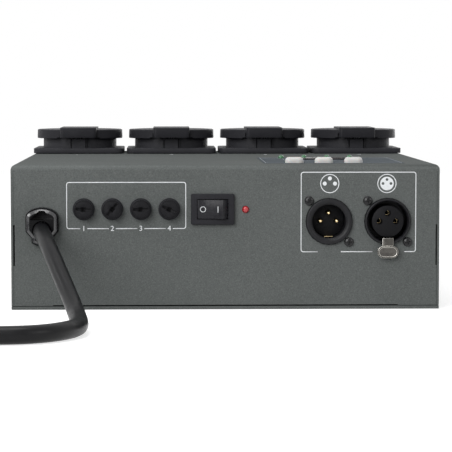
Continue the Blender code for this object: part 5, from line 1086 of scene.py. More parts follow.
def flap_lid():
    """Lid as it lies closed over its outlet."""
    lip = block((-0.007, (LID_SKIRT + LID_RADIUS) / 2, LID_RIM), (0.007, LIP_REACH, LID_RIM + 0.0018))
    lip = eased(lip, 0.0005, 3)
    grips = [across_at(rod(0.00028, -0.0046, 0.0046, 10), (0.0, y, LID_RIM + 0.0018))
             for y in (0.0248, 0.0255)]
    return cut(joined(lid_disc(), [lid_band(), lip] + grips), lid_clearances())


closed_lid = flap_lid()
for number, x in enumerate(SOCKET_PLACES, start=1):
    piece(
        f"flap_lid_{number}", closed_lid, top_place(x, SOCKET_Y), moulded_black, f"lid_{number}",
        "black_plastic", f"socket_lid_{number}")


# Hinge pins and springs: a peened steel pin runs through each hinge block and both lugs, and
# three turns of spring wire lie round it between the lugs.

SPRING_RADIUS = 0.00155
SPRING_PITCH = 0.0012
SPRING_TURNS = 3
SPRING_WIRE = 0.0006
PIN_LENGTH = 0.0196


def spring_line():
    """Middle of the spring's wire, from its leg round the turns."""
    half = SPRING_TURNS * SPRING_PITCH / 2
    points = [(-half, 0.0022, SPRING_RADIUS)]
    for index in range(SPRING_TURNS * 24 + 1):
        angle = math.radians(90 + 15 * index)
        points.append((-half + SPRING_PITCH * index / 24, SPRING_RADIUS * math.cos(angle),
                       SPRING_RADIUS * math.sin(angle)))
    return points


def peened_pin():
    """Pin with slightly domed ends."""
    half = PIN_LENGTH / 2
    profile = [(0.0, half), (0.0006, half - 0.0001), (0.00095, half - 0.00035), (0.001, half - 0.0006)]
    profile += [(radius, -height) for radius, height in reversed(profile)]
    return turned(profile, 24)


spring_wire = finish(
    "spring_wire", (128, 130, 132), (0.0006, 0.22, 0.42), metallic=1.0,
    spots=[(0.0009, 0.5, 0.8, (98, 99, 101))], grain=[(0.0002, 0.00001)])
wire_tree = tube_tree()
for number, x in enumerate(SOCKET_PLACES, start=1):
    hinge = top_place(x, SOCKET_Y) @ shift(*pivot)
    piece(
        f"lid_pin_{number}", across_at(peened_pin(), (0.0, 0.0, 0.0)), hinge, zinc_plate, "pack",
        "plated_steel", f"hinge_pin_{number}")
    coil = [hinge @ Vector(point) for point in spring_line()]
    grown(drawn_lines(f"shutting_spring_{number}", [coil]), wire_tree,
          {"Radius": SPRING_WIRE / 2, "Sides": 10, "Finish": spring_wire}, "plated_steel",
          f"lid_spring_{number}")


# Earth brackets: one bent brass strip runs under each outlet and comes up through its floor on
# both sides as two sprung fingers.

BRACKET_WIDTH = 0.006
BRACKET_THICKNESS = 0.0008
BRACKET_SIDE = 0.0182
BRACKET_BEND = 0.0012
BRACKET_LINE = ((-0.0179, 0.0060), (-0.0163, 0.0035), (-0.0179, 0.0005), (-BRACKET_SIDE, -0.0030),
                (-BRACKET_SIDE, -0.0213))


def bracket():
    """Strip bent along its line, fingers curved inwards."""
    half = smooth_line([(0.0, y, z) for y, z in BRACKET_LINE], 5)[:-1]
    turns = [math.radians(15 * step) for step in range(1, 7)]
    corner = [Vector((0.0, -BRACKET_SIDE + BRACKET_BEND * (1 - math.cos(turn)),
                      -0.0201 - BRACKET_BEND * math.sin(turn))) for turn in turns]
    half = [point for point in half if point.z > -0.0200] + corner
    line = half + [Vector((0.0, -point.y, point.z)) for point in reversed(half)]
    shape = bmesh.new()
    rows = [[shape.verts.new((x, point.y, point.z)) for point in line]
            for x in (-BRACKET_WIDTH / 2, BRACKET_WIDTH / 2)]
    for index in range(len(line) - 1):
        shape.faces.new((rows[0][index], rows[0][index + 1], rows[1][index + 1], rows[1][index]))
    return baked(outward(shape), [
        ("SOLIDIFY", {"thickness": BRACKET_THICKNESS, "offset": 0.0, "use_even_offset": True}),
        ("BEVEL", {"width": 0.00012, "segments": 2, "limit_method": "ANGLE",
                   "angle_limit": math.radians(50)})])


contact_brass = finish(
    "contact_brass", (198, 168, 98), (0.0008, 0.2, 0.4, (1.0, 1.0, 0.1)), metallic=1.0,
    spots=[(0.002, 0.5, 0.75, (166, 134, 72))], grain=[(0.0003, 0.00001, (1.0, 1.0, 0.1))])
earth_strip = bracket()
for number, x in enumerate(SOCKET_PLACES, start=1):
    piece(
        f"earth_contact_{number}", earth_strip, top_place(x, SOCKET_Y), contact_brass, "pack",
        "brass", f"earth_bracket_{number}")


# Fuse holders: four black threaded tubes through the panel, each with a round flange in front,
# a hexagon nut behind, a solder blade at the end, and a slotted screw cap that grips the fuse.

FUSE_HEIGHT = 0.0489
HOLDER_BORE = 0.0036
HOLDER_BARREL = 0.0046
HOLDER_FLANGE = 0.0053
HOLDER_FRONT = 0.0015
HOLDER_FLOOR = -0.0206
HOLDER_END = -0.0260
NUT_ACROSS = 0.0126
CAP_RADIUS = 0.00475
CAP_SHANK = 0.0033
CAP_LOW = 0.0018
CAP_HIGH = 0.0043
FUSE_RADIUS = 0.0026
FUSE_TOP = -0.0003
FUSE_LENGTH = 0.020
FUSE_CAP_LENGTH = 0.0055
CAP_ANGLES = (175.0, 50.0, 180.0, 155.0)


def holder_tube():
    """Flange and barrel, the barrel threaded behind the panel."""
    profile = [(0.0, HOLDER_FLOOR), (HOLDER_BORE, HOLDER_FLOOR), (HOLDER_BORE, HOLDER_FRONT - 0.0002)]
    profile += [(HOLDER_BORE + 0.0002, HOLDER_FRONT), (HOLDER_FLANGE - 0.0004, HOLDER_FRONT)]
    profile += [(HOLDER_FLANGE - 0.0001, HOLDER_FRONT - 0.0001), (HOLDER_FLANGE, HOLDER_FRONT - 0.0004)]
    profile += [(HOLDER_FLANGE, 0.0003), (HOLDER_BARREL, 0.0003)]
    depth = -0.0016
    while depth > -0.0150:
        profile += [(HOLDER_BARREL, depth), (HOLDER_BARREL - 0.0003, depth - 0.0004)]
        depth -= 0.0008
    profile += [(HOLDER_BARREL, -0.0160), (HOLDER_BARREL, HOLDER_END + 0.0004)]
    profile += [(HOLDER_BARREL - 0.0004, HOLDER_END), (0.0, HOLDER_END)]
    return turned(profile, 56)


def holder_nut():
    """Hexagon nut with turned corners, bored for the barrel."""
    top = -SHEET - 0.0003
    corner = NUT_ACROSS / math.sqrt(3)
    nut = rod(corner, top - 0.003, top, 6)
    round_corners = turned([(0.0, top), (NUT_ACROSS / 2, top), (corner, top - 0.0006),
                            (corner, top - 0.0024), (NUT_ACROSS / 2, top - 0.003),
                            (0.0, top - 0.003)], 48)
    nut = combined(nut, [round_corners], "INTERSECT")
    return cut(nut, [rod(HOLDER_BARREL - 0.0002, top - 0.01, 0.001, 48)])


def screw_cap():
    """Cap with a ring groove, a driver slot and a square pit in its face, and a hollow shank."""
    grip = FUSE_RADIUS + 0.00015
    profile = [(0.0, CAP_HIGH), (0.00385, CAP_HIGH), (0.0039, CAP_HIGH - 0.00025)]
    profile += [(0.00415, CAP_HIGH - 0.00025), (0.0042, CAP_HIGH - 0.00005)]
    profile += [(CAP_RADIUS - 0.00025, CAP_HIGH - 0.00015)]
    profile += [(CAP_RADIUS, CAP_HIGH - 0.0006), (CAP_RADIUS, CAP_LOW + 0.0002)]
    profile += [(CAP_RADIUS - 0.0002, CAP_LOW), (CAP_SHANK, CAP_LOW), (CAP_SHANK, -0.004)]
    profile += [(grip, -0.004), (grip, 0.0), (0.0, 0.0)]
    slot = slab(0.0037, 0.0007, CAP_HIGH - 0.0014, CAP_HIGH + 0.001)
    square = slab(0.0011, 0.0011, CAP_HIGH - 0.0036, CAP_HIGH + 0.001)
    return eased(cut(turned(profile, 56), [eased(slot, 0.0002, 2), square]), 0.00008, 2, 40.0)


def cartridge():
    """Glass tube, and the two plated caps on its ends."""
    low = FUSE_TOP - FUSE_LENGTH
    ends = []
    for near, far in ((FUSE_TOP, FUSE_TOP - FUSE_CAP_LENGTH), (low + FUSE_CAP_LENGTH, low)):
        ends.append(eased(rod(FUSE_RADIUS, far, near, 40), 0.0003, 3))
    return rod(0.00235, low + 0.0007, -0.001, 40), gathered(ends)


holder_blade = eased(slab(0.0025, 0.0004, HOLDER_END - 0.006, HOLDER_END + 0.0003), 0.00012, 2)
holder = gathered([holder_tube(), holder_nut(), holder_blade])
cap = screw_cap()
cap_black = finish(
    "cap_black", (30, 30, 32), (0.0008, 0.34, 0.54), specular=0.09,
    spots=[(0.0025, 0.5, 0.8, (36, 36, 38)), (0.00035, 0.58, 0.78, (44, 44, 47))],
    grain=[(0.00035, 0.00006)])
glass_tube, fuse_ends = cartridge()
fuse_wire = rod(0.0001, FUSE_TOP - FUSE_LENGTH + 0.004, -0.005, 8)
clear_glass = finish(
    "clear_glass", (235, 240, 238), (0.002, 0.03, 0.10), more={"Transmission Weight": 0.9})
for number, (x, angle) in enumerate(zip(FUSE_PLACES, CAP_ANGLES), start=1):
    seat = panel_place(x, FUSE_HEIGHT)
    piece(
        f"fuse_tube_{number}", holder, seat, moulded_black, "pack", "black_plastic",
        f"fuse_holder_{number}")
    piece(
        f"screw_cap_{number}", cap, seat @ spin(angle, "Z"), cap_black, f"cap_{number}", "black_plastic",
        f"fuse_cap_{number}")
    piece(
        f"glass_fuse_{number}", glass_tube, seat, clear_glass, f"cap_{number}", "fuse_glass",
        f"fuse_{number}")
    piece(
        f"fuse_ends_{number}", gathered([fuse_ends, fuse_wire]), seat, bright_nickel,
        f"cap_{number}", "fuse_glass")


# Power switch: black rocker in a snap-in body with a raised bezel. The rocker rests on its O end
# and tilts about two trunnions; its O and I are pad-printed white.

SWITCH_X = -0.0064
SWITCH_HEIGHT = 0.0488
ROCKER_PIVOT_DEPTH = 0.00187
ROCKER_HALF = 0.0062
ROCKER_END_RISE = 0.0054
ROCKER_VALLEY_RISE = 0.0045
ROCKER_WIDTH = 0.0092
ROCKER_TILT = -13.0
rocker_radius = math.hypot(ROCKER_HALF, ROCKER_END_RISE)
switch_seat = panel_place(SWITCH_X, SWITCH_HEIGHT)
rocker_seat = switch_seat @ shift(z=-ROCKER_PIVOT_DEPTH) @ spin(ROCKER_TILT, "Y")


def switch_case():
    """Bezel and body, bored across for the rocker, with two push-on blades behind."""
    bezel = eased(prism(rounded_outline(0.021, 0.015, 0.0008, 6), 0.0003, 0.0020), 0.0004, 3, 50.0)
    body = slab(0.0093, 0.0062, -0.018, 0.0012)
    lay = shift(z=-ROCKER_PIVOT_DEPTH) @ spin(90, "X")
    half = ROCKER_WIDTH / 2 + 0.0003
    pocket = placed(rod(rocker_radius + 0.0003, -half, half, 72), lay)
    seat = placed(rod(0.0015, -half - 0.0014, half + 0.0014, 24), lay)
    blades = []
    for side in (-1, 1):
        x = side * 0.005
        blade = slab(0.0004, 0.00315, -0.026, -0.0177, (x, 0.0))
        hole = across_at(rod(0.0007, -0.002, 0.002, 16), (x, 0.0, -0.0238))
        blades.append(eased(cut(blade, [hole]), 0.00012, 2))
    return cut(joined(bezel, [eased(body, 0.0003, 2)]), [pocket, seat]), gathered(blades)


def rocker_rise(x):
    """Height of the rocker's hollow face above its pivot."""
    return ROCKER_VALLEY_RISE + (ROCKER_END_RISE - ROCKER_VALLEY_RISE) * (x / ROCKER_HALF) ** 2


def rocker_shape():
    """Rocker with its face towards Z, hollow from end to end."""
    end = math.degrees(math.atan2(ROCKER_END_RISE, ROCKER_HALF))
    right = arc((0.0, 0.0), rocker_radius, -30, end, 14)
    face = [(ROCKER_HALF * s / 10, rocker_rise(ROCKER_HALF * s / 10)) for s in range(9, -10, -1)]
    left = [(-x, y) for x, y in reversed(right)]
    body = eased(prism(right + face + left, -ROCKER_WIDTH / 2, ROCKER_WIDTH / 2), 0.0003, 2, 50.0)
    half = ROCKER_WIDTH / 2 + 0.0008
    body = joined(body, [rod(0.0012, -half, half, 24)])
    body.transform(spin(90, "X"))
    return body


def rocker_marks():
    """O at the left end and I at the right, laid on the hollow face."""
    ring = cut(rod(0.00140, 0.0, 0.00008, 40, (-0.0037, 0.0)),
               [rod(0.00113, -0.001, 0.001, 40, (-0.0037, 0.0))])
    bar = block((0.00355, -0.0014, 0.0), (0.00387, 0.0014, 0.00008))
    marks = gathered([ring, bar])
    for vertex in marks.vertices:
        vertex.co.z += rocker_rise(vertex.co.x) - 0.00003
    return marks


case, switch_blades = switch_case()
piece("switch_case", case, switch_seat, moulded_black, "pack", "black_plastic", "switch_body")
piece("switch_blades", switch_blades, switch_seat, contact_brass, "pack", "brass")
glossy_black = finish(
    "glossy_black", (40, 40, 43), (0.0012, 0.18, 0.34), specular=0.14,
    spots=[(0.003, 0.5, 0.8, (45, 45, 48))], grain=[(0.0006, 0.00001)])
piece(
    "power_rocker", rocker_shape(), rocker_seat, glossy_black, "rocker", "black_plastic",
    "switch_rocker")
piece("rocker_marks", rocker_marks(), rocker_seat, white_ink, "rocker", "black_plastic")


# Power lamp: small red lens, unlit, pushed through the panel from behind up to its rim.

LAMP_X = 0.0096
LAMP_HEIGHT = 0.0486
LAMP_RADIUS = 0.0016
lamp_rim = -SHEET - 0.0003


def lens(radius, proud, foot, rim=None):
    """Domed lens about Z, with an optional rim below the sheet."""
    profile = [(0.0, proud)] + arc((0.0, proud - radius), radius, 82, 0, 10) + [(radius, foot)]
    if rim is not None:
        profile += [(rim, foot), (rim, foot - 0.0008), (0.0, foot - 0.0008)]
    else:
        profile += [(0.0, foot)]
    return turned(profile, 40)


red_lens = finish(
    "red_lens", (190, 46, 52), (0.0008, 0.10, 0.24),
    more={"Transmission Weight": 0.15, "Coat Weight": 0.4},
    spots=[(0.0007, 0.45, 0.75, (150, 22, 32))])
piece(
    "lamp_lens", lens(LAMP_RADIUS, 0.0015, lamp_rim, 0.0024), panel_place(LAMP_X, LAMP_HEIGHT),
    red_lens, "pack", "red_lens", "power_led")
lamp_leads = [slab(0.00025, 0.00025, lamp_rim - 0.0073, lamp_rim - 0.0006, (x, 0.0))
              for x in (-0.00127, 0.00127)]
piece(
    "lamp_leads", gathered(lamp_leads), panel_place(LAMP_X, LAMP_HEIGHT), zinc_plate, "pack",
    "plated_steel")


# Three-pin connectors: black satin metal shells set into the panel from behind. The left one is
# male, with gold-plated pins deep in its cup; the right one is female, with a push latch.

CONNECTOR_HEIGHT = 0.0427
CONNECTOR_RADIUS = 0.01115
CONTACT_SPOTS = ((0.0, 0.004), (-0.004, 0.0), (0.004, 0.0))
CONNECTOR_SCREWS = ((-0.0097, 0.0100), (0.0097, -0.0100))
MALE_X = 0.0502
FEMALE_X = 0.0787
TAB_DROP = 0.0148
NECK_INSIDE = -0.00805
NECK_THICKNESS = 0.0009
male_seat = panel_place(MALE_X, CONNECTOR_HEIGHT)
female_seat = panel_place(FEMALE_X, CONNECTOR_HEIGHT)


def connector_plate(bore):
    """Mounting plate behind the panel."""
    top = -SHEET - 0.0003
    plate = eased(prism(rounded_outline(0.026, 0.028, 0.002, 5), top - 0.002, top), 0.0003, 2, 50.0)
    holes = [rod(0.0018, top - 0.004, 0.001, 24, spot) for spot in CONNECTOR_SCREWS]
    return cut(plate, [gathered(holes + [rod(bore, top - 0.004, 0.001, 72)])])


def male_shell():
    """Cup with a broad sloping rim."""
    profile = [(0.0, -0.0125), (0.0082, -0.0125), (0.0082, 0.0004), (0.0086, 0.0008)]
    profile += [(0.0095, 0.00155), (0.0097, 0.0016), (0.0107, 0.0016), (0.01100, 0.0015)]
    profile += [(CONNECTOR_RADIUS, 0.0013), (CONNECTOR_RADIUS, -0.0020), (0.0102, -0.0020)]
    profile += [(0.0102, -0.0186), (0.0098, -0.019), (0.0, -0.019)]
    return joined(turned(profile, 96), [connector_plate(0.0092)])


def female_shell():
    """Cup with a thin bevelled rim, notched below for the latch."""
    profile = [(0.0, -0.0145), (0.00985, -0.0145), (0.00985, 0.0009), (0.0101, 0.0014)]
    profile += [(0.0104, 0.0018), (0.0107, 0.0018), (0.0110, 0.0017), (CONNECTOR_RADIUS, 0.0014)]
    profile += [(CONNECTOR_RADIUS, -0.0020), (0.0106, -0.0020), (0.0106, -0.0196)]
    profile += [(0.0102, -0.020), (0.0, -0.020)]
    mesh = joined(turned(profile, 96), [connector_plate(0.0102)])
    notch = block((-0.00295, -0.0125, -0.0004), (0.00295, -0.0090, 0.004))
    return cut(mesh, [notch])


def male_insert():
    """Moulded disc that holds the pins."""
    disc = eased(rod(0.0079, -0.0122, -0.0082, 72), 0.0002, 2)
    return cut(disc, [gathered([rod(0.00135, -0.013, -0.007, 24, spot) for spot in CONTACT_SPOTS])])


def female_insert():
    """Moulded core with an eased rim and three lead-in holes."""
    disc = turned([(0.0, 0.0009), (0.0072, 0.0009), (0.0076, 0.0007), (0.00775, 0.0003),
                   (0.00775, -0.0142), (0.0, -0.0142)], 72)
    tools = []
    for spot in CONTACT_SPOTS:
        mouth = rod(0.00115, -0.0015, 0.0010, 32, spot, 0.0015)
        tools.append(joined(mouth, [rod(0.00112, -0.013, -0.0012, 32, spot)]))
    return cut(disc, [gathered(tools)])


def contact_pin():
    """Round pin with an eased tip."""
    profile = [(0.0, -0.0022), (0.0003, -0.00223), (0.0006, -0.00238), (0.00085, -0.00265)]
    profile += [(0.00105, -0.0031), (0.00117, -0.0037), (0.0012, -0.0044)]
    return turned(profile + [(0.0012, -0.0122), (0.0, -0.0122)], 32)


def push_latch():
    """Oval push tab with a raised rim, a bent neck and a tongue into the ring."""
    oval = rounded_outline(0.0102, 0.006, 0.00299, 12)
    tab = eased(prism([(x, y - TAB_DROP) for x, y in oval], 0.0016, 0.0030), 0.0003, 3, 50.0)
    oval = rounded_outline(0.0086, 0.0044, 0.00219, 12)
    dish = prism([(x, y - TAB_DROP) for x, y in oval], 0.0028, 0.0040)
    tab = cut(tab, [dish])
    outside = NECK_INSIDE - NECK_THICKNESS
    neck = side_prism([(-0.0128, 0.0012), (outside, 0.0012), (outside, -0.004),
                       (NECK_INSIDE, -0.004), (NECK_INSIDE, 0.0024), (-0.0128, 0.0024)], 0.00265)
    return eased(joined(tab, [neck]), 0.00012, 2, 45.0)


satin_black = finish(
    "satin_black", (27, 27, 29), (0.001, 0.32, 0.50), specular=0.2,
    spots=[(0.004, 0.45, 0.8, (32, 32, 35)), (0.0004, 0.62, 0.8, (48, 48, 51))],
    grain=[(0.0003, 0.00002)])
gold_plate = finish(
    "gold_plate", (212, 190, 148), (0.0006, 0.12, 0.28), metallic=1.0,
    spots=[(0.001, 0.55, 0.8, (196, 166, 112))], grain=[(0.0003, 0.00001)])
insert_black = finish(
    "insert_black", (20, 20, 22), (0.001, 0.42, 0.6), specular=0.12,
    spots=[(0.0005, 0.6, 0.8, (34, 34, 36))], grain=[(0.0004, 0.00004)])
piece("male_shell", male_shell(), male_seat, satin_black, "pack", "black_metal", "dmx_in_shell")
piece("male_insert", male_insert(), male_seat, insert_black, "pack", "black_plastic", "dmx_in_insert")
piece("female_shell", female_shell(), female_seat, satin_black, "pack", "black_metal", "dmx_out_shell")
piece(
    "female_insert", female_insert(), female_seat, insert_black, "pack", "black_plastic",
    "dmx_out_insert")
for number, (x, y) in enumerate(CONTACT_SPOTS, start=1):
    piece(f"gold_pin_{number}", contact_pin(), male_seat @ shift(x, y), gold_plate, "pack", "brass",
          f"dmx_in_pin_{number}")
tubes = [cut(rod(0.0012, -0.0120, -0.0046, 24, spot), [rod(0.00095, -0.0125, 0.0, 24, spot)])
         for spot in CONTACT_SPOTS]
strip = eased(block((-0.0022, -0.0077, -0.0079), (0.0022, -0.0073, -0.0024)), 0.00018, 3)
piece("contact_tubes", gathered(tubes), female_seat, gold_plate, "pack", "brass")
piece("cup_earth_strip", strip, male_seat, gold_plate, "pack", "brass", "dmx_in_earth_strip")
# The latch's nickel is darkened: a painted reflection of dark surroundings on its face.
latch_nickel = finish(
    "latch_nickel", (84, 82, 79), (0.0012, 0.14, 0.30), metallic=1.0,
    spots=[(0.0018, 0.5, 0.8, (74, 72, 70))], grain=[(0.0004, 0.00001)])
latch = piece("push_latch", push_latch(), female_seat, latch_nickel, "latch", "nickel", "dmx_out_latch")
# Faces tilted between the tab's face and its sides take bright nickel: a painted highlight round the rim.
latch.data.materials.append(bright_nickel)
for face in latch.data.polygons:
    if 0.25 < abs(face.normal.y) < 0.93:
        face.material_index = 1


# Connector screws: black pan-head cross screws, two for each connector, driven from the front.

def pan_screw():
    """Low domed head on the panel, threaded shank behind."""
    profile = [(0.0, 0.0016), (0.0010, 0.00152), (0.0017, 0.0012), (0.00215, 0.0008), (0.0023, 0.0003)]
    profile += [(0.0023, 0.0001), (0.0014, 0.0001)]
    depth = 0.0001
    while depth > -0.006:
        profile += [(0.0012, depth - 0.00025), (0.00145, depth - 0.0005)]
        depth -= 0.0005
    profile += [(0.0, depth)]
    recess = placed(cross_recess(0.0012, 0.0016), shift(z=0.0015))
    return cut(turned(profile, 32), [recess])


screw_black = finish(
    "screw_black", (18, 18, 20), (0.0005, 0.13, 0.24), specular=0.32,
    spots=[(0.001, 0.5, 0.8, (26, 26, 28))], grain=[(0.0003, 0.00001)])
connector_screw_points = [(cx + x, CONNECTOR_HEIGHT + y, 0.0) for cx in (MALE_X, FEMALE_X)
                          for x, y in CONNECTOR_SCREWS]
screws("connector_screws", pan_screw(), connector_screw_points, panel_place(), screw_black,
       "black_metal")


# Buttons: three cream oblong keys of moulded plastic. A skirt holds each one under the cover, and
# the control board's key switches push them back up.

BUTTON_PLACES = (0.0343, 0.0489, 0.0635)
BUTTON_Y = -0.0840
BUTTON_LENGTH = 0.0091
BUTTON_WIDTH = 0.0050
BUTTON_HIGH = 0.0030
BUTTON_FOOT = -0.0025
SKIRT_GROWTH = 0.001
SKIRT_TOP = -0.0015
SKIRT_LOW = -0.0023


def stadium(length, width):
    """Oblong with half-round ends, longer along X."""
    x = (length - width) / 2
    return arc((x, 0.0), width / 2, -90, 90, 14) + arc((-x, 0.0), width / 2, 90, 270, 14)


def push_button():
    """Key with a well rounded top, slightly dished, on its skirt."""
    cap = prism(stadium(BUTTON_LENGTH, BUTTON_WIDTH), BUTTON_FOOT, BUTTON_HIGH)
    cap = eased(cap, 0.0019, 7, 50.0)
    dish = prism(stadium(BUTTON_LENGTH - 0.0040, BUTTON_WIDTH - 0.0034), BUTTON_HIGH - 0.00006, 0.01)
    skirt = prism(stadium(BUTTON_LENGTH + 2 * SKIRT_GROWTH, BUTTON_WIDTH + 2 * SKIRT_GROWTH),
                  SKIRT_LOW, SKIRT_TOP)
    return cut(joined(cap, [eased(skirt, 0.0001, 1)]), [dish])


cream_plastic = finish(
    "cream_plastic", (192, 191, 189), (0.0012, 0.30, 0.46), specular=0.22,
    more={"Subsurface Weight": 0.12, "Subsurface Scale": 0.0015},
    spots=[(0.004, 0.45, 0.8, (194, 193, 190))], grain=[(0.0003, 0.00001)])
key_cap = push_button()
for number, x in enumerate(BUTTON_PLACES, start=1):
    piece(
        f"push_button_{number}", key_cap, top_place(x, BUTTON_Y), cream_plastic, f"key_{number}",
        "cream_plastic", f"button_{number}", crease=50.0)


# Control label: blue-grey printed film stuck on the cover, cut out for the buttons, the display
# and the channel lamps. Thin pale grey lines frame it and the display and join the lamps, and
# plain numbers mark the lamps.

LABEL_MIDDLE = (0.05375, -0.05025)
LABEL_SIZE = (0.0695, 0.0775)
LABEL_FILM = (0.00004, 0.00016)
DISPLAY_PLACE = (0.049, -0.0365)
DISPLAY_SIZE = (0.030, 0.014)
LAMP_ROW = (0.03115, 0.04305, 0.05495, 0.06685)
LAMP_ROW_Y = -0.0245
LAMP_RING_RADIUS = 0.0025
FRAME_INSET = 0.0012
CUT_MARGIN = 0.0003


def label_film():
    """Film with its windows."""
    film = prism(rounded_outline(*LABEL_SIZE, 0.001, 6), *LABEL_FILM)
    film.transform(shift(*LABEL_MIDDLE))
    slot = prism(stadium(BUTTON_LENGTH + 2 * CUT_MARGIN, BUTTON_WIDTH + 2 * CUT_MARGIN), -0.01, 0.01)
    windows = [placed(slot, shift(x, BUTTON_Y)) for x in BUTTON_PLACES]
    windows.append(slab(DISPLAY_SIZE[0] / 2 + CUT_MARGIN, DISPLAY_SIZE[1] / 2 + CUT_MARGIN,
                        -0.01, 0.01, DISPLAY_PLACE))
    windows += [rod(0.0018, -0.01, 0.01, 28, (x, LAMP_ROW_Y)) for x in LAMP_ROW]
    return cut(film, [gathered(windows)])


film_grey = finish(
    "label_film", (79, 84, 88), (0.0015, 0.58, 0.74), specular=0.005,
    spots=[(0.03, 0.45, 0.75, (82, 87, 92)), (0.0004, 0.6, 0.8, (89, 94, 99))],
    grain=[(0.0005, 0.00002)])
piece("label", label_film(), top_place(), film_grey, "pack", "label_film", "control_label")

inner_width, inner_depth = [side - 2 * FRAME_INSET for side in LABEL_SIZE]
label_lines = []
for middle, outline in ((LABEL_MIDDLE, rounded_outline(inner_width, inner_depth, 0.0022, 6)),
                        (DISPLAY_PLACE, rounded_outline(0.0348, 0.0188, 0.0012, 5))):
    around = [(x + middle[0], y + middle[1]) for x, y in outline]
    label_lines.append(around + around[:1])
lamp_stops = [LABEL_MIDDLE[0] - inner_width / 2]
for x in LAMP_ROW:
    label_lines.append(ring_line(x, LAMP_ROW_Y, LAMP_RING_RADIUS, 32))
    lamp_stops += [x - LAMP_RING_RADIUS, x + LAMP_RING_RADIUS]
lamp_stops.append(LABEL_MIDDLE[0] + inner_width / 2)
label_lines += [[(start, LAMP_ROW_Y), (end, LAMP_ROW_Y)]
                for start, end in zip(lamp_stops[::2], lamp_stops[1::2])]
label_ink = finish(
    "label_ink", (150, 156, 160), (0.001, 0.62, 0.76), specular=0.05,
    spots=[(0.0006, 0.55, 0.75, (136, 142, 147))])
grown(drawn_lines("label_print", label_lines), ink_tree(),
      {"Width": 0.00026, "Thickness": INK_THICKNESS, "Finish": label_ink}, "label_film",
      place=top_place(proud=LABEL_FILM[1] + INK_THICKNESS / 3))
lamp_figures = [numeral(text, 0.0024, top_place(x, LAMP_ROW_Y + 0.0052, LABEL_FILM[1]))
                for x, text in zip(LAMP_ROW, "1234")]
piece("lamp_figures", gathered(lamp_figures), AS_DRAWN, label_ink, "pack", "label_film")


# Display: a four-digit seven-segment module, unlit, behind a glossy tinted face. It stands on the
# control board and fills the label's window.

DISPLAY_TOP = 0.0009
DISPLAY_FOOT = -0.0049
DIGIT_PITCH = 0.0068
DIGIT_HEIGHT = 0.0086
DIGIT_WIDTH = 0.0044
DIGIT_LEAN = 0.12
SEGMENT_WIDTH = 0.0009


def segment(length):
    """One bar with pointed ends, along X."""
    half = length / 2 - 0.0001
    tip = SEGMENT_WIDTH / 2
    outline = [(-half, 0.0), (-half + tip, -tip), (half - tip, -tip), (half, 0.0),
               (half - tip, tip), (-half + tip, tip)]
    return prism(outline, -0.00002, 0.00001)


def digit():
    """Seven bars and a point, leaning a little to the right."""
    bars = [placed(segment(DIGIT_WIDTH), shift(y=row * DIGIT_HEIGHT / 2)) for row in (-1, 0, 1)]
    upright = placed(segment(DIGIT_HEIGHT / 2), spin(90, "Z"))
    for column in (-1, 1):
        for row in (-1, 1):
            bars.append(placed(upright, shift(column * DIGIT_WIDTH / 2, row * DIGIT_HEIGHT / 4)))
    bars.append(rod(0.0005, -0.00002, 0.00001, 16, (DIGIT_WIDTH / 2 + 0.0012, -DIGIT_HEIGHT / 2)))
    mesh = gathered(bars)
    for vertex in mesh.vertices:
        vertex.co.x += DIGIT_LEAN * vertex.co.y
    return mesh


tinted_face = finish(
    "dark_window", (16, 13, 15), (0.003, 0.07, 0.18), specular=0.06,
    spots=[(0.008, 0.45, 0.8, (24, 17, 20))])
unlit_segment = finish(
    "unlit_segment", (70, 55, 57), (0.001, 0.10, 0.20), specular=0.06,
    spots=[(0.0008, 0.5, 0.8, (88, 68, 68))])
display_seat = top_place(*DISPLAY_PLACE)
module = slab(DISPLAY_SIZE[0] / 2, DISPLAY_SIZE[1] / 2, DISPLAY_FOOT, DISPLAY_TOP)
piece(
    "display_module", eased(module, 0.0003, 3), display_seat, tinted_face, "pack", "dark_window",
    "display")
one_digit = digit()
digits = [placed(one_digit, shift((column - 1.5) * DIGIT_PITCH, z=DISPLAY_TOP))
          for column in range(4)]
piece("display_segments", gathered(digits), display_seat, unlit_segment, "pack", "dark_window")


# Channel lamps: four green lenses, unlit, that stand on the control board and come up through
# the label.

CONTROL_BOARD_TOP = -0.0052
green_lens = finish(
    "green_lens", (44, 108, 66), (0.0009, 0.12, 0.26), more={"Transmission Weight": 0.2},
    spots=[(0.0008, 0.45, 0.75, (34, 92, 54))])
lamp_bodies = [placed(lens(0.0015, 0.0020, CONTROL_BOARD_TOP + 0.00005), top_place(x, LAMP_ROW_Y))
               for x in LAMP_ROW]
piece("channel_lamps", gathered(lamp_bodies), AS_DRAWN, green_lens, "pack", "board_green")


# Control board: green circuit board on four studs under the top, with tinned pads, three key
# switches and a keyed header for its flat cable below.

CONTROL_BOARD_MIDDLE = (0.05375, -0.0505)
CONTROL_BOARD_SIZE = (0.0695, 0.082)
BOARD_THICKNESS = 0.0016
HEADER_SIZE = (0.020, 0.006, 0.008)


def board_finish(name, mask, track, wave_size):
    """Solder mask with tracks showing through it, poured copper between, and flecks of flux."""
    material = finish(name, mask, (0.002, 0.26, 0.44))
    tree = material.node_tree
    tracks = node(tree, "ShaderNodeTexBrick", {
        "Vector": node(tree, "ShaderNodeTexCoord", {}, "Object"), "Scale": 1.0 / wave_size,
        "Mortar Size": 0.07, "Mortar Smooth": 0.1, "Brick Width": 2.6, "Row Height": 0.5},
        "Fac", offset=0.37, offset_frequency=3, squash=0.55, squash_frequency=2)
    edge = ramped(material, tracks, 0.3, 0.7)
    tinted(material, edge, track)
    tinted(material, ramped(material, speckle(material, 0.016, detail=0.0), 0.54, 0.56), mask)
    tinted(material, ramped(material, speckle(material, 0.0009), 0.70, 0.82), (96, 128, 100))
    bumped(material, edge, 0.00003)
    return material


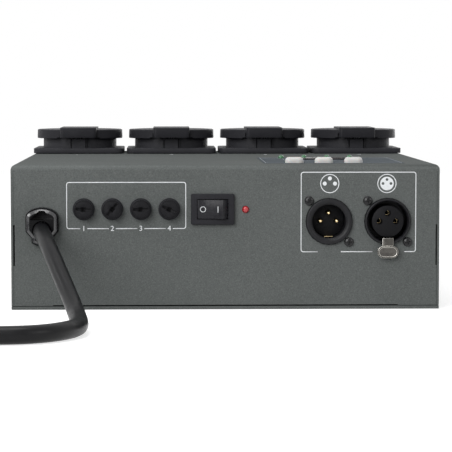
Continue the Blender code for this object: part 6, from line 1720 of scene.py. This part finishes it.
def control_board_parts():
    """Board with stud holes, tinned pads, switches with plungers, and the shrouded header."""
    width, depth = CONTROL_BOARD_SIZE
    top = CONTROL_BOARD_TOP
    low = top - BOARD_THICKNESS
    board = eased(slab(width / 2, depth / 2, low, top), 0.0001, 1)
    holes = [rod(0.0015, low - 0.001, 0.0, 24, (sx * (width / 2 - 0.004), sy * (depth / 2 - 0.004)))
             for sx in (-1, 1) for sy in (-1, 1)]
    pads = []
    switches = []
    frames = []
    for x in BUTTON_PLACES:
        cx, cy = x - CONTROL_BOARD_MIDDLE[0], BUTTON_Y - CONTROL_BOARD_MIDDLE[1]
        frames.append(eased(slab(0.003, 0.003, top + 0.00002, top + 0.0010, (cx, cy)), 0.0002, 2))
        switches.append(eased(rod(0.00175, top + 0.0009, top + 0.0020, 32, (cx, cy)), 0.0002, 2))
        pads += [rod(0.0006, low - 0.0003, low + 0.00002, 14, (cx + dx, cy + dy), 0.0008)
                 for dx in (-0.0032, 0.0032) for dy in (-0.0022, 0.0022)]
    for x in LAMP_ROW:
        cx, cy = x - CONTROL_BOARD_MIDDLE[0], LAMP_ROW_Y - CONTROL_BOARD_MIDDLE[1]
        pads += [rod(0.0005, low - 0.0004, low + 0.00002, 14, (cx + dx, cy), 0.0008)
                 for dx in (-0.00127, 0.00127)]
    half_x, half_y, height = HEADER_SIZE[0] / 2, HEADER_SIZE[1] / 2, HEADER_SIZE[2]
    header = slab(half_x, half_y, low - height, low)
    inside = slab(half_x - 0.0008, half_y - 0.0008, low - height - 0.001, low - 0.0015)
    keyway = slab(0.0018, 0.001, low - height - 0.001, low - 0.003, (0.0, -half_y))
    header = cut(eased(header, 0.0003, 2), [inside, keyway])
    pins = [slab(0.0003, 0.0003, low - height + 0.0012, low - 0.001, (column * 0.00254, row * 0.00127))
            for column in range(-3, 4) for row in (-1, 1)]
    return cut(board, [gathered(holes)]), gathered(frames + pads), gathered(switches + [header]), pins


control_seat = top_place(*CONTROL_BOARD_MIDDLE)
solder_mask = board_finish("solder_mask", (26, 82, 50), (52, 118, 76), 0.0042)
board_body, tinned_parts, moulded_parts, header_pins = control_board_parts()
piece("control_circuit", board_body, control_seat, solder_mask, "pack", "board_green", "control_board")
tinned = finish(
    "tinned", (186, 188, 188), (0.0005, 0.2, 0.42), metallic=1.0,
    spots=[(0.0007, 0.5, 0.75, (150, 152, 152))], grain=[(0.0004, 0.00002)])
piece("control_tinned_parts", tinned_parts, control_seat, tinned, "pack", "board_green")
piece("control_moulded_parts", moulded_parts, control_seat, moulded_black, "pack", "board_green")
piece("header_pins", gathered(header_pins), control_seat, gold_plate, "pack", "board_green")


# Power board: wide circuit board on studs above the base, with four blue channel relays in a
# row, soldered underneath, and the mains transformer in front of them at the right.

POWER_BOARD_X = 0.085
POWER_BOARD_Y = (-0.0565, 0.0535)
POWER_BOARD_Z = (0.0078, 0.0094)
POWER_STUD_INSET = 0.005
RELAY_PLACES = (-0.062, -0.035, -0.008, 0.019)
RELAY_Y = 0.0265
RELAY_SIZE = (0.0155, 0.020, 0.016)
RELAY_LEGS = ((-0.006, -0.0075), (0.006, -0.0075), (0.0, 0.0), (-0.006, 0.0075), (0.006, 0.0075))


def power_board_parts():
    """Board with stud holes, relay cases with a vent stub each, and solder joints below."""
    low, high = POWER_BOARD_Z
    board = eased(block((-POWER_BOARD_X, POWER_BOARD_Y[0], low), (POWER_BOARD_X, POWER_BOARD_Y[1], high)),
                  0.0001, 1)
    holes = [rod(0.0018, 0.0, 0.02, 24, (sx * (POWER_BOARD_X - POWER_STUD_INSET), y))
             for sx in (-1, 1)
             for y in (POWER_BOARD_Y[0] + POWER_STUD_INSET, POWER_BOARD_Y[1] - POWER_STUD_INSET)]
    half_x, half_y, height = RELAY_SIZE[0] / 2, RELAY_SIZE[1] / 2, RELAY_SIZE[2]
    top = high + height
    cases = []
    joints = []
    for x in RELAY_PLACES:
        case = eased(slab(half_x, half_y, high + 0.00002, top, (x, RELAY_Y)), 0.0006, 3)
        dip = eased(slab(0.0062, 0.0085, top - 0.0002, top + 0.01, (x, RELAY_Y)), 0.0001, 1)
        stub = rod(0.0009, top - 0.0004, top - 0.00002, 20, (x - 0.0045, RELAY_Y + 0.0068))
        cases.append(joined(cut(case, [dip]), [eased(stub, 0.0001, 1)]))
        joints += [rod(0.0007, low - 0.0009, low + 0.00002, 14, (x + dx, RELAY_Y + dy), 0.0014)
                   for dx, dy in RELAY_LEGS]
    return cut(board, [gathered(holes)]), gathered(cases), gathered(joints)


power_mask = board_finish("power_mask", (24, 78, 48), (50, 114, 72), 0.0075)
relay_blue = finish(
    "relay_blue", (38, 62, 112), (0.0015, 0.3, 0.46), specular=0.45,
    spots=[(0.006, 0.45, 0.8, (46, 72, 124))], grain=[(0.0004, 0.00002)])
power_body, relay_cases, solder_joints = power_board_parts()
piece("power_circuit", power_body, AS_DRAWN, power_mask, "pack", "board_green", "power_board")
piece("channel_relays", relay_cases, AS_DRAWN, relay_blue, "pack", "board_green")
piece("power_solder_joints", solder_joints, AS_DRAWN, tinned, "pack", "board_green")


# Transformer: small mains transformer on the power board, a varnished stack of steel laminations
# round a two-chamber bobbin whose windings are wrapped in yellow tape.

TRANSFORMER_PLACE = (0.055, -0.0165)
TRANSFORMER_LOW = 0.0097
TRANSFORMER_TOP = 0.0377
CORE_SIZE = (0.040, 0.018)
WINDING_SIZE = (0.026, 0.034)
CHEEK_THICKNESS = 0.001


def transformer_parts():
    """Core with its four rivets, bobbin cheeks, and the taped winding in between."""
    half_x, half_y = CORE_SIZE[0] / 2, CORE_SIZE[1] / 2
    core = eased(slab(half_x, half_y, TRANSFORMER_LOW, TRANSFORMER_TOP), 0.0003, 2)
    for side in (-1, 1):
        for z in (TRANSFORMER_LOW + 0.0032, TRANSFORMER_TOP - 0.0032):
            rivet = eased(rod(0.0016, -half_y - 0.0007, half_y + 0.0007, 20), 0.0003, 2)
            core = joined(core, [placed(rivet, shift(side * 0.0168, z=z) @ spin(90, "X"))])
    wide, deep = WINDING_SIZE[0] / 2, WINDING_SIZE[1] / 2
    low, high = TRANSFORMER_LOW + 0.0035, TRANSFORMER_TOP - 0.0035
    inner = half_y + 0.0001
    outer = deep - CHEEK_THICKNESS
    cheeks = []
    windings = []
    for side in (-1, 1):
        for y in (inner, outer):
            cheek = block((-wide, side * y, low), (wide, side * (y + CHEEK_THICKNESS), high))
            cheeks.append(eased(cheek, 0.0002, 2))
        winding = block((-wide + 0.0009, side * (inner + CHEEK_THICKNESS), low + 0.0009),
                        (wide - 0.0009, side * outer, high - 0.0009))
        windings.append(eased(winding, 0.0022, 4))
    return core, gathered(cheeks), gathered(windings)


def stacked(material, colour, direction, scale, depth):
    """Fine parallel layers, for laminations or turns of tape."""
    layers = banded(material, direction, scale, 0.4)
    tinted(material, ramped(material, layers, 0.4, 0.9), colour)
    bumped(material, layers, depth)


lamination = finish("lamination", (70, 66, 62), (0.0015, 0.34, 0.55), metallic=0.8)
stacked(lamination, (48, 45, 43), "Y", 640.0, 0.00006)
winding_tape = finish("winding_tape", (196, 168, 80), (0.002, 0.28, 0.44), specular=0.45)
stacked(winding_tape, (176, 146, 62), "Z", 90.0, 0.00005)
transformer_seat = shift(*TRANSFORMER_PLACE)
core_stack, bobbin, taped_winding = transformer_parts()
piece(
    "transformer_winding", taped_winding, transformer_seat, winding_tape, "pack", "winding_tape",
    "transformer")
piece("transformer_core", core_stack, transformer_seat, lamination, "pack", "winding_tape")
piece("transformer_bobbin", bobbin, transformer_seat, moulded_black, "pack", "winding_tape")


# Strain-relief bushing: black nylon, snapped into the panel round the supply lead, with a
# chamfered head, a lock pocket above the lead and a tongue below. It is drawn in one piece.

BUSHING_PLACE = (-0.0888, 0.0416)
BUSHING_HALF_WIDTH = 0.0081
BUSHING_CROWN = 0.0083
BUSHING_SHOULDER = 0.0035
BUSHING_LOW_SIDE = ((0.00255, -0.0102), (0.0051, -0.0090), (0.0051, -0.0068), (0.0081, -0.0032))
BUSHING_MIDDLE = -0.00095
BUSHING_FRONT = 0.0070
BUSHING_CHANNEL = 0.0045
CHANNEL_DROP = -0.0025


def bushing_outline(scale, shrink=0.0):
    """Crowned outline with a tongue below, anticlockwise, scaled and then drawn inwards."""
    rise = BUSHING_CROWN - BUSHING_SHOULDER
    crown = [(BUSHING_HALF_WIDTH * x, BUSHING_SHOULDER + rise * y)
             for x, y in arc((0.0, 0.0), 1.0, 0, 180, 28)]
    points = list(BUSHING_LOW_SIDE) + crown + [(-x, y) for x, y in reversed(BUSHING_LOW_SIDE)]
    points = [Vector((x * scale, BUSHING_MIDDLE + (y - BUSHING_MIDDLE) * scale)) for x, y in points]
    drawn = []
    for index, point in enumerate(points):
        before = (point - points[index - 1]).normalized()
        after = (points[(index + 1) % len(points)] - point).normalized()
        along = (before + after).normalized()
        reach = shrink / max(0.45, along.dot(after))
        drawn.append((point.x - along.y * reach, point.y + along.x * reach))
    return drawn


def bushing():
    """Head with a lock pocket and a broad chamfer, barrel behind it, bored for the lead."""
    head = stacked_outlines([
        (0.0003, bushing_outline(1.0)), (0.0044, bushing_outline(0.975)),
        (0.0051, bushing_outline(0.968, 0.0003)), (0.0054, bushing_outline(0.966, 0.0005)),
        (BUSHING_FRONT - 0.00015, bushing_outline(0.95, 0.00175)),
        (BUSHING_FRONT, bushing_outline(0.95, 0.0020))])
    barrel = prism(bushing_outline(0.83), -0.0132, BUSHING_FRONT / 2)
    half_pocket = [(0.0056, 0.0024), (0.0053, 0.0032), (0.0012, 0.0069)]
    pocket_outline = half_pocket + [(-x, y) for x, y in reversed(half_pocket)]
    pocket = eased(prism(pocket_outline, BUSHING_FRONT - 0.0056, BUSHING_FRONT + 0.002), 0.0002, 2)
    channel = rod(BUSHING_CHANNEL, -0.02, 0.02, 56, (0.0, CHANNEL_DROP))
    return cut(joined(head, [barrel]), [pocket, channel])


def nylon_finish(name, colour, specular):
    """Black nylon, a little uneven in tone and gloss."""
    return finish(name, colour, (0.0012, 0.20, 0.30), specular=specular,
                  spots=[(0.004, 0.45, 0.8, [level + 5 for level in colour])],
                  grain=[(0.0009, 0.000004)])


lead_bushing = piece(
    "lead_bushing", bushing(), panel_place(*BUSHING_PLACE),
    nylon_finish("bushing_nylon", (16, 16, 18), 0.10), "pack", "soft_black", "strain_relief",
    crease=24.0)
# The head's chamfer faces take a lighter, glossier nylon: a painted highlight, the bright crescents round
# the head.
lead_bushing.data.materials.append(nylon_finish("polished_nylon", (30, 30, 33), 0.85))
for face in lead_bushing.data.polygons:
    if abs(face.normal.y + 0.73) < 0.12 and PANEL_FRONT - face.center.y > 0.0050:
        face.material_index = 1
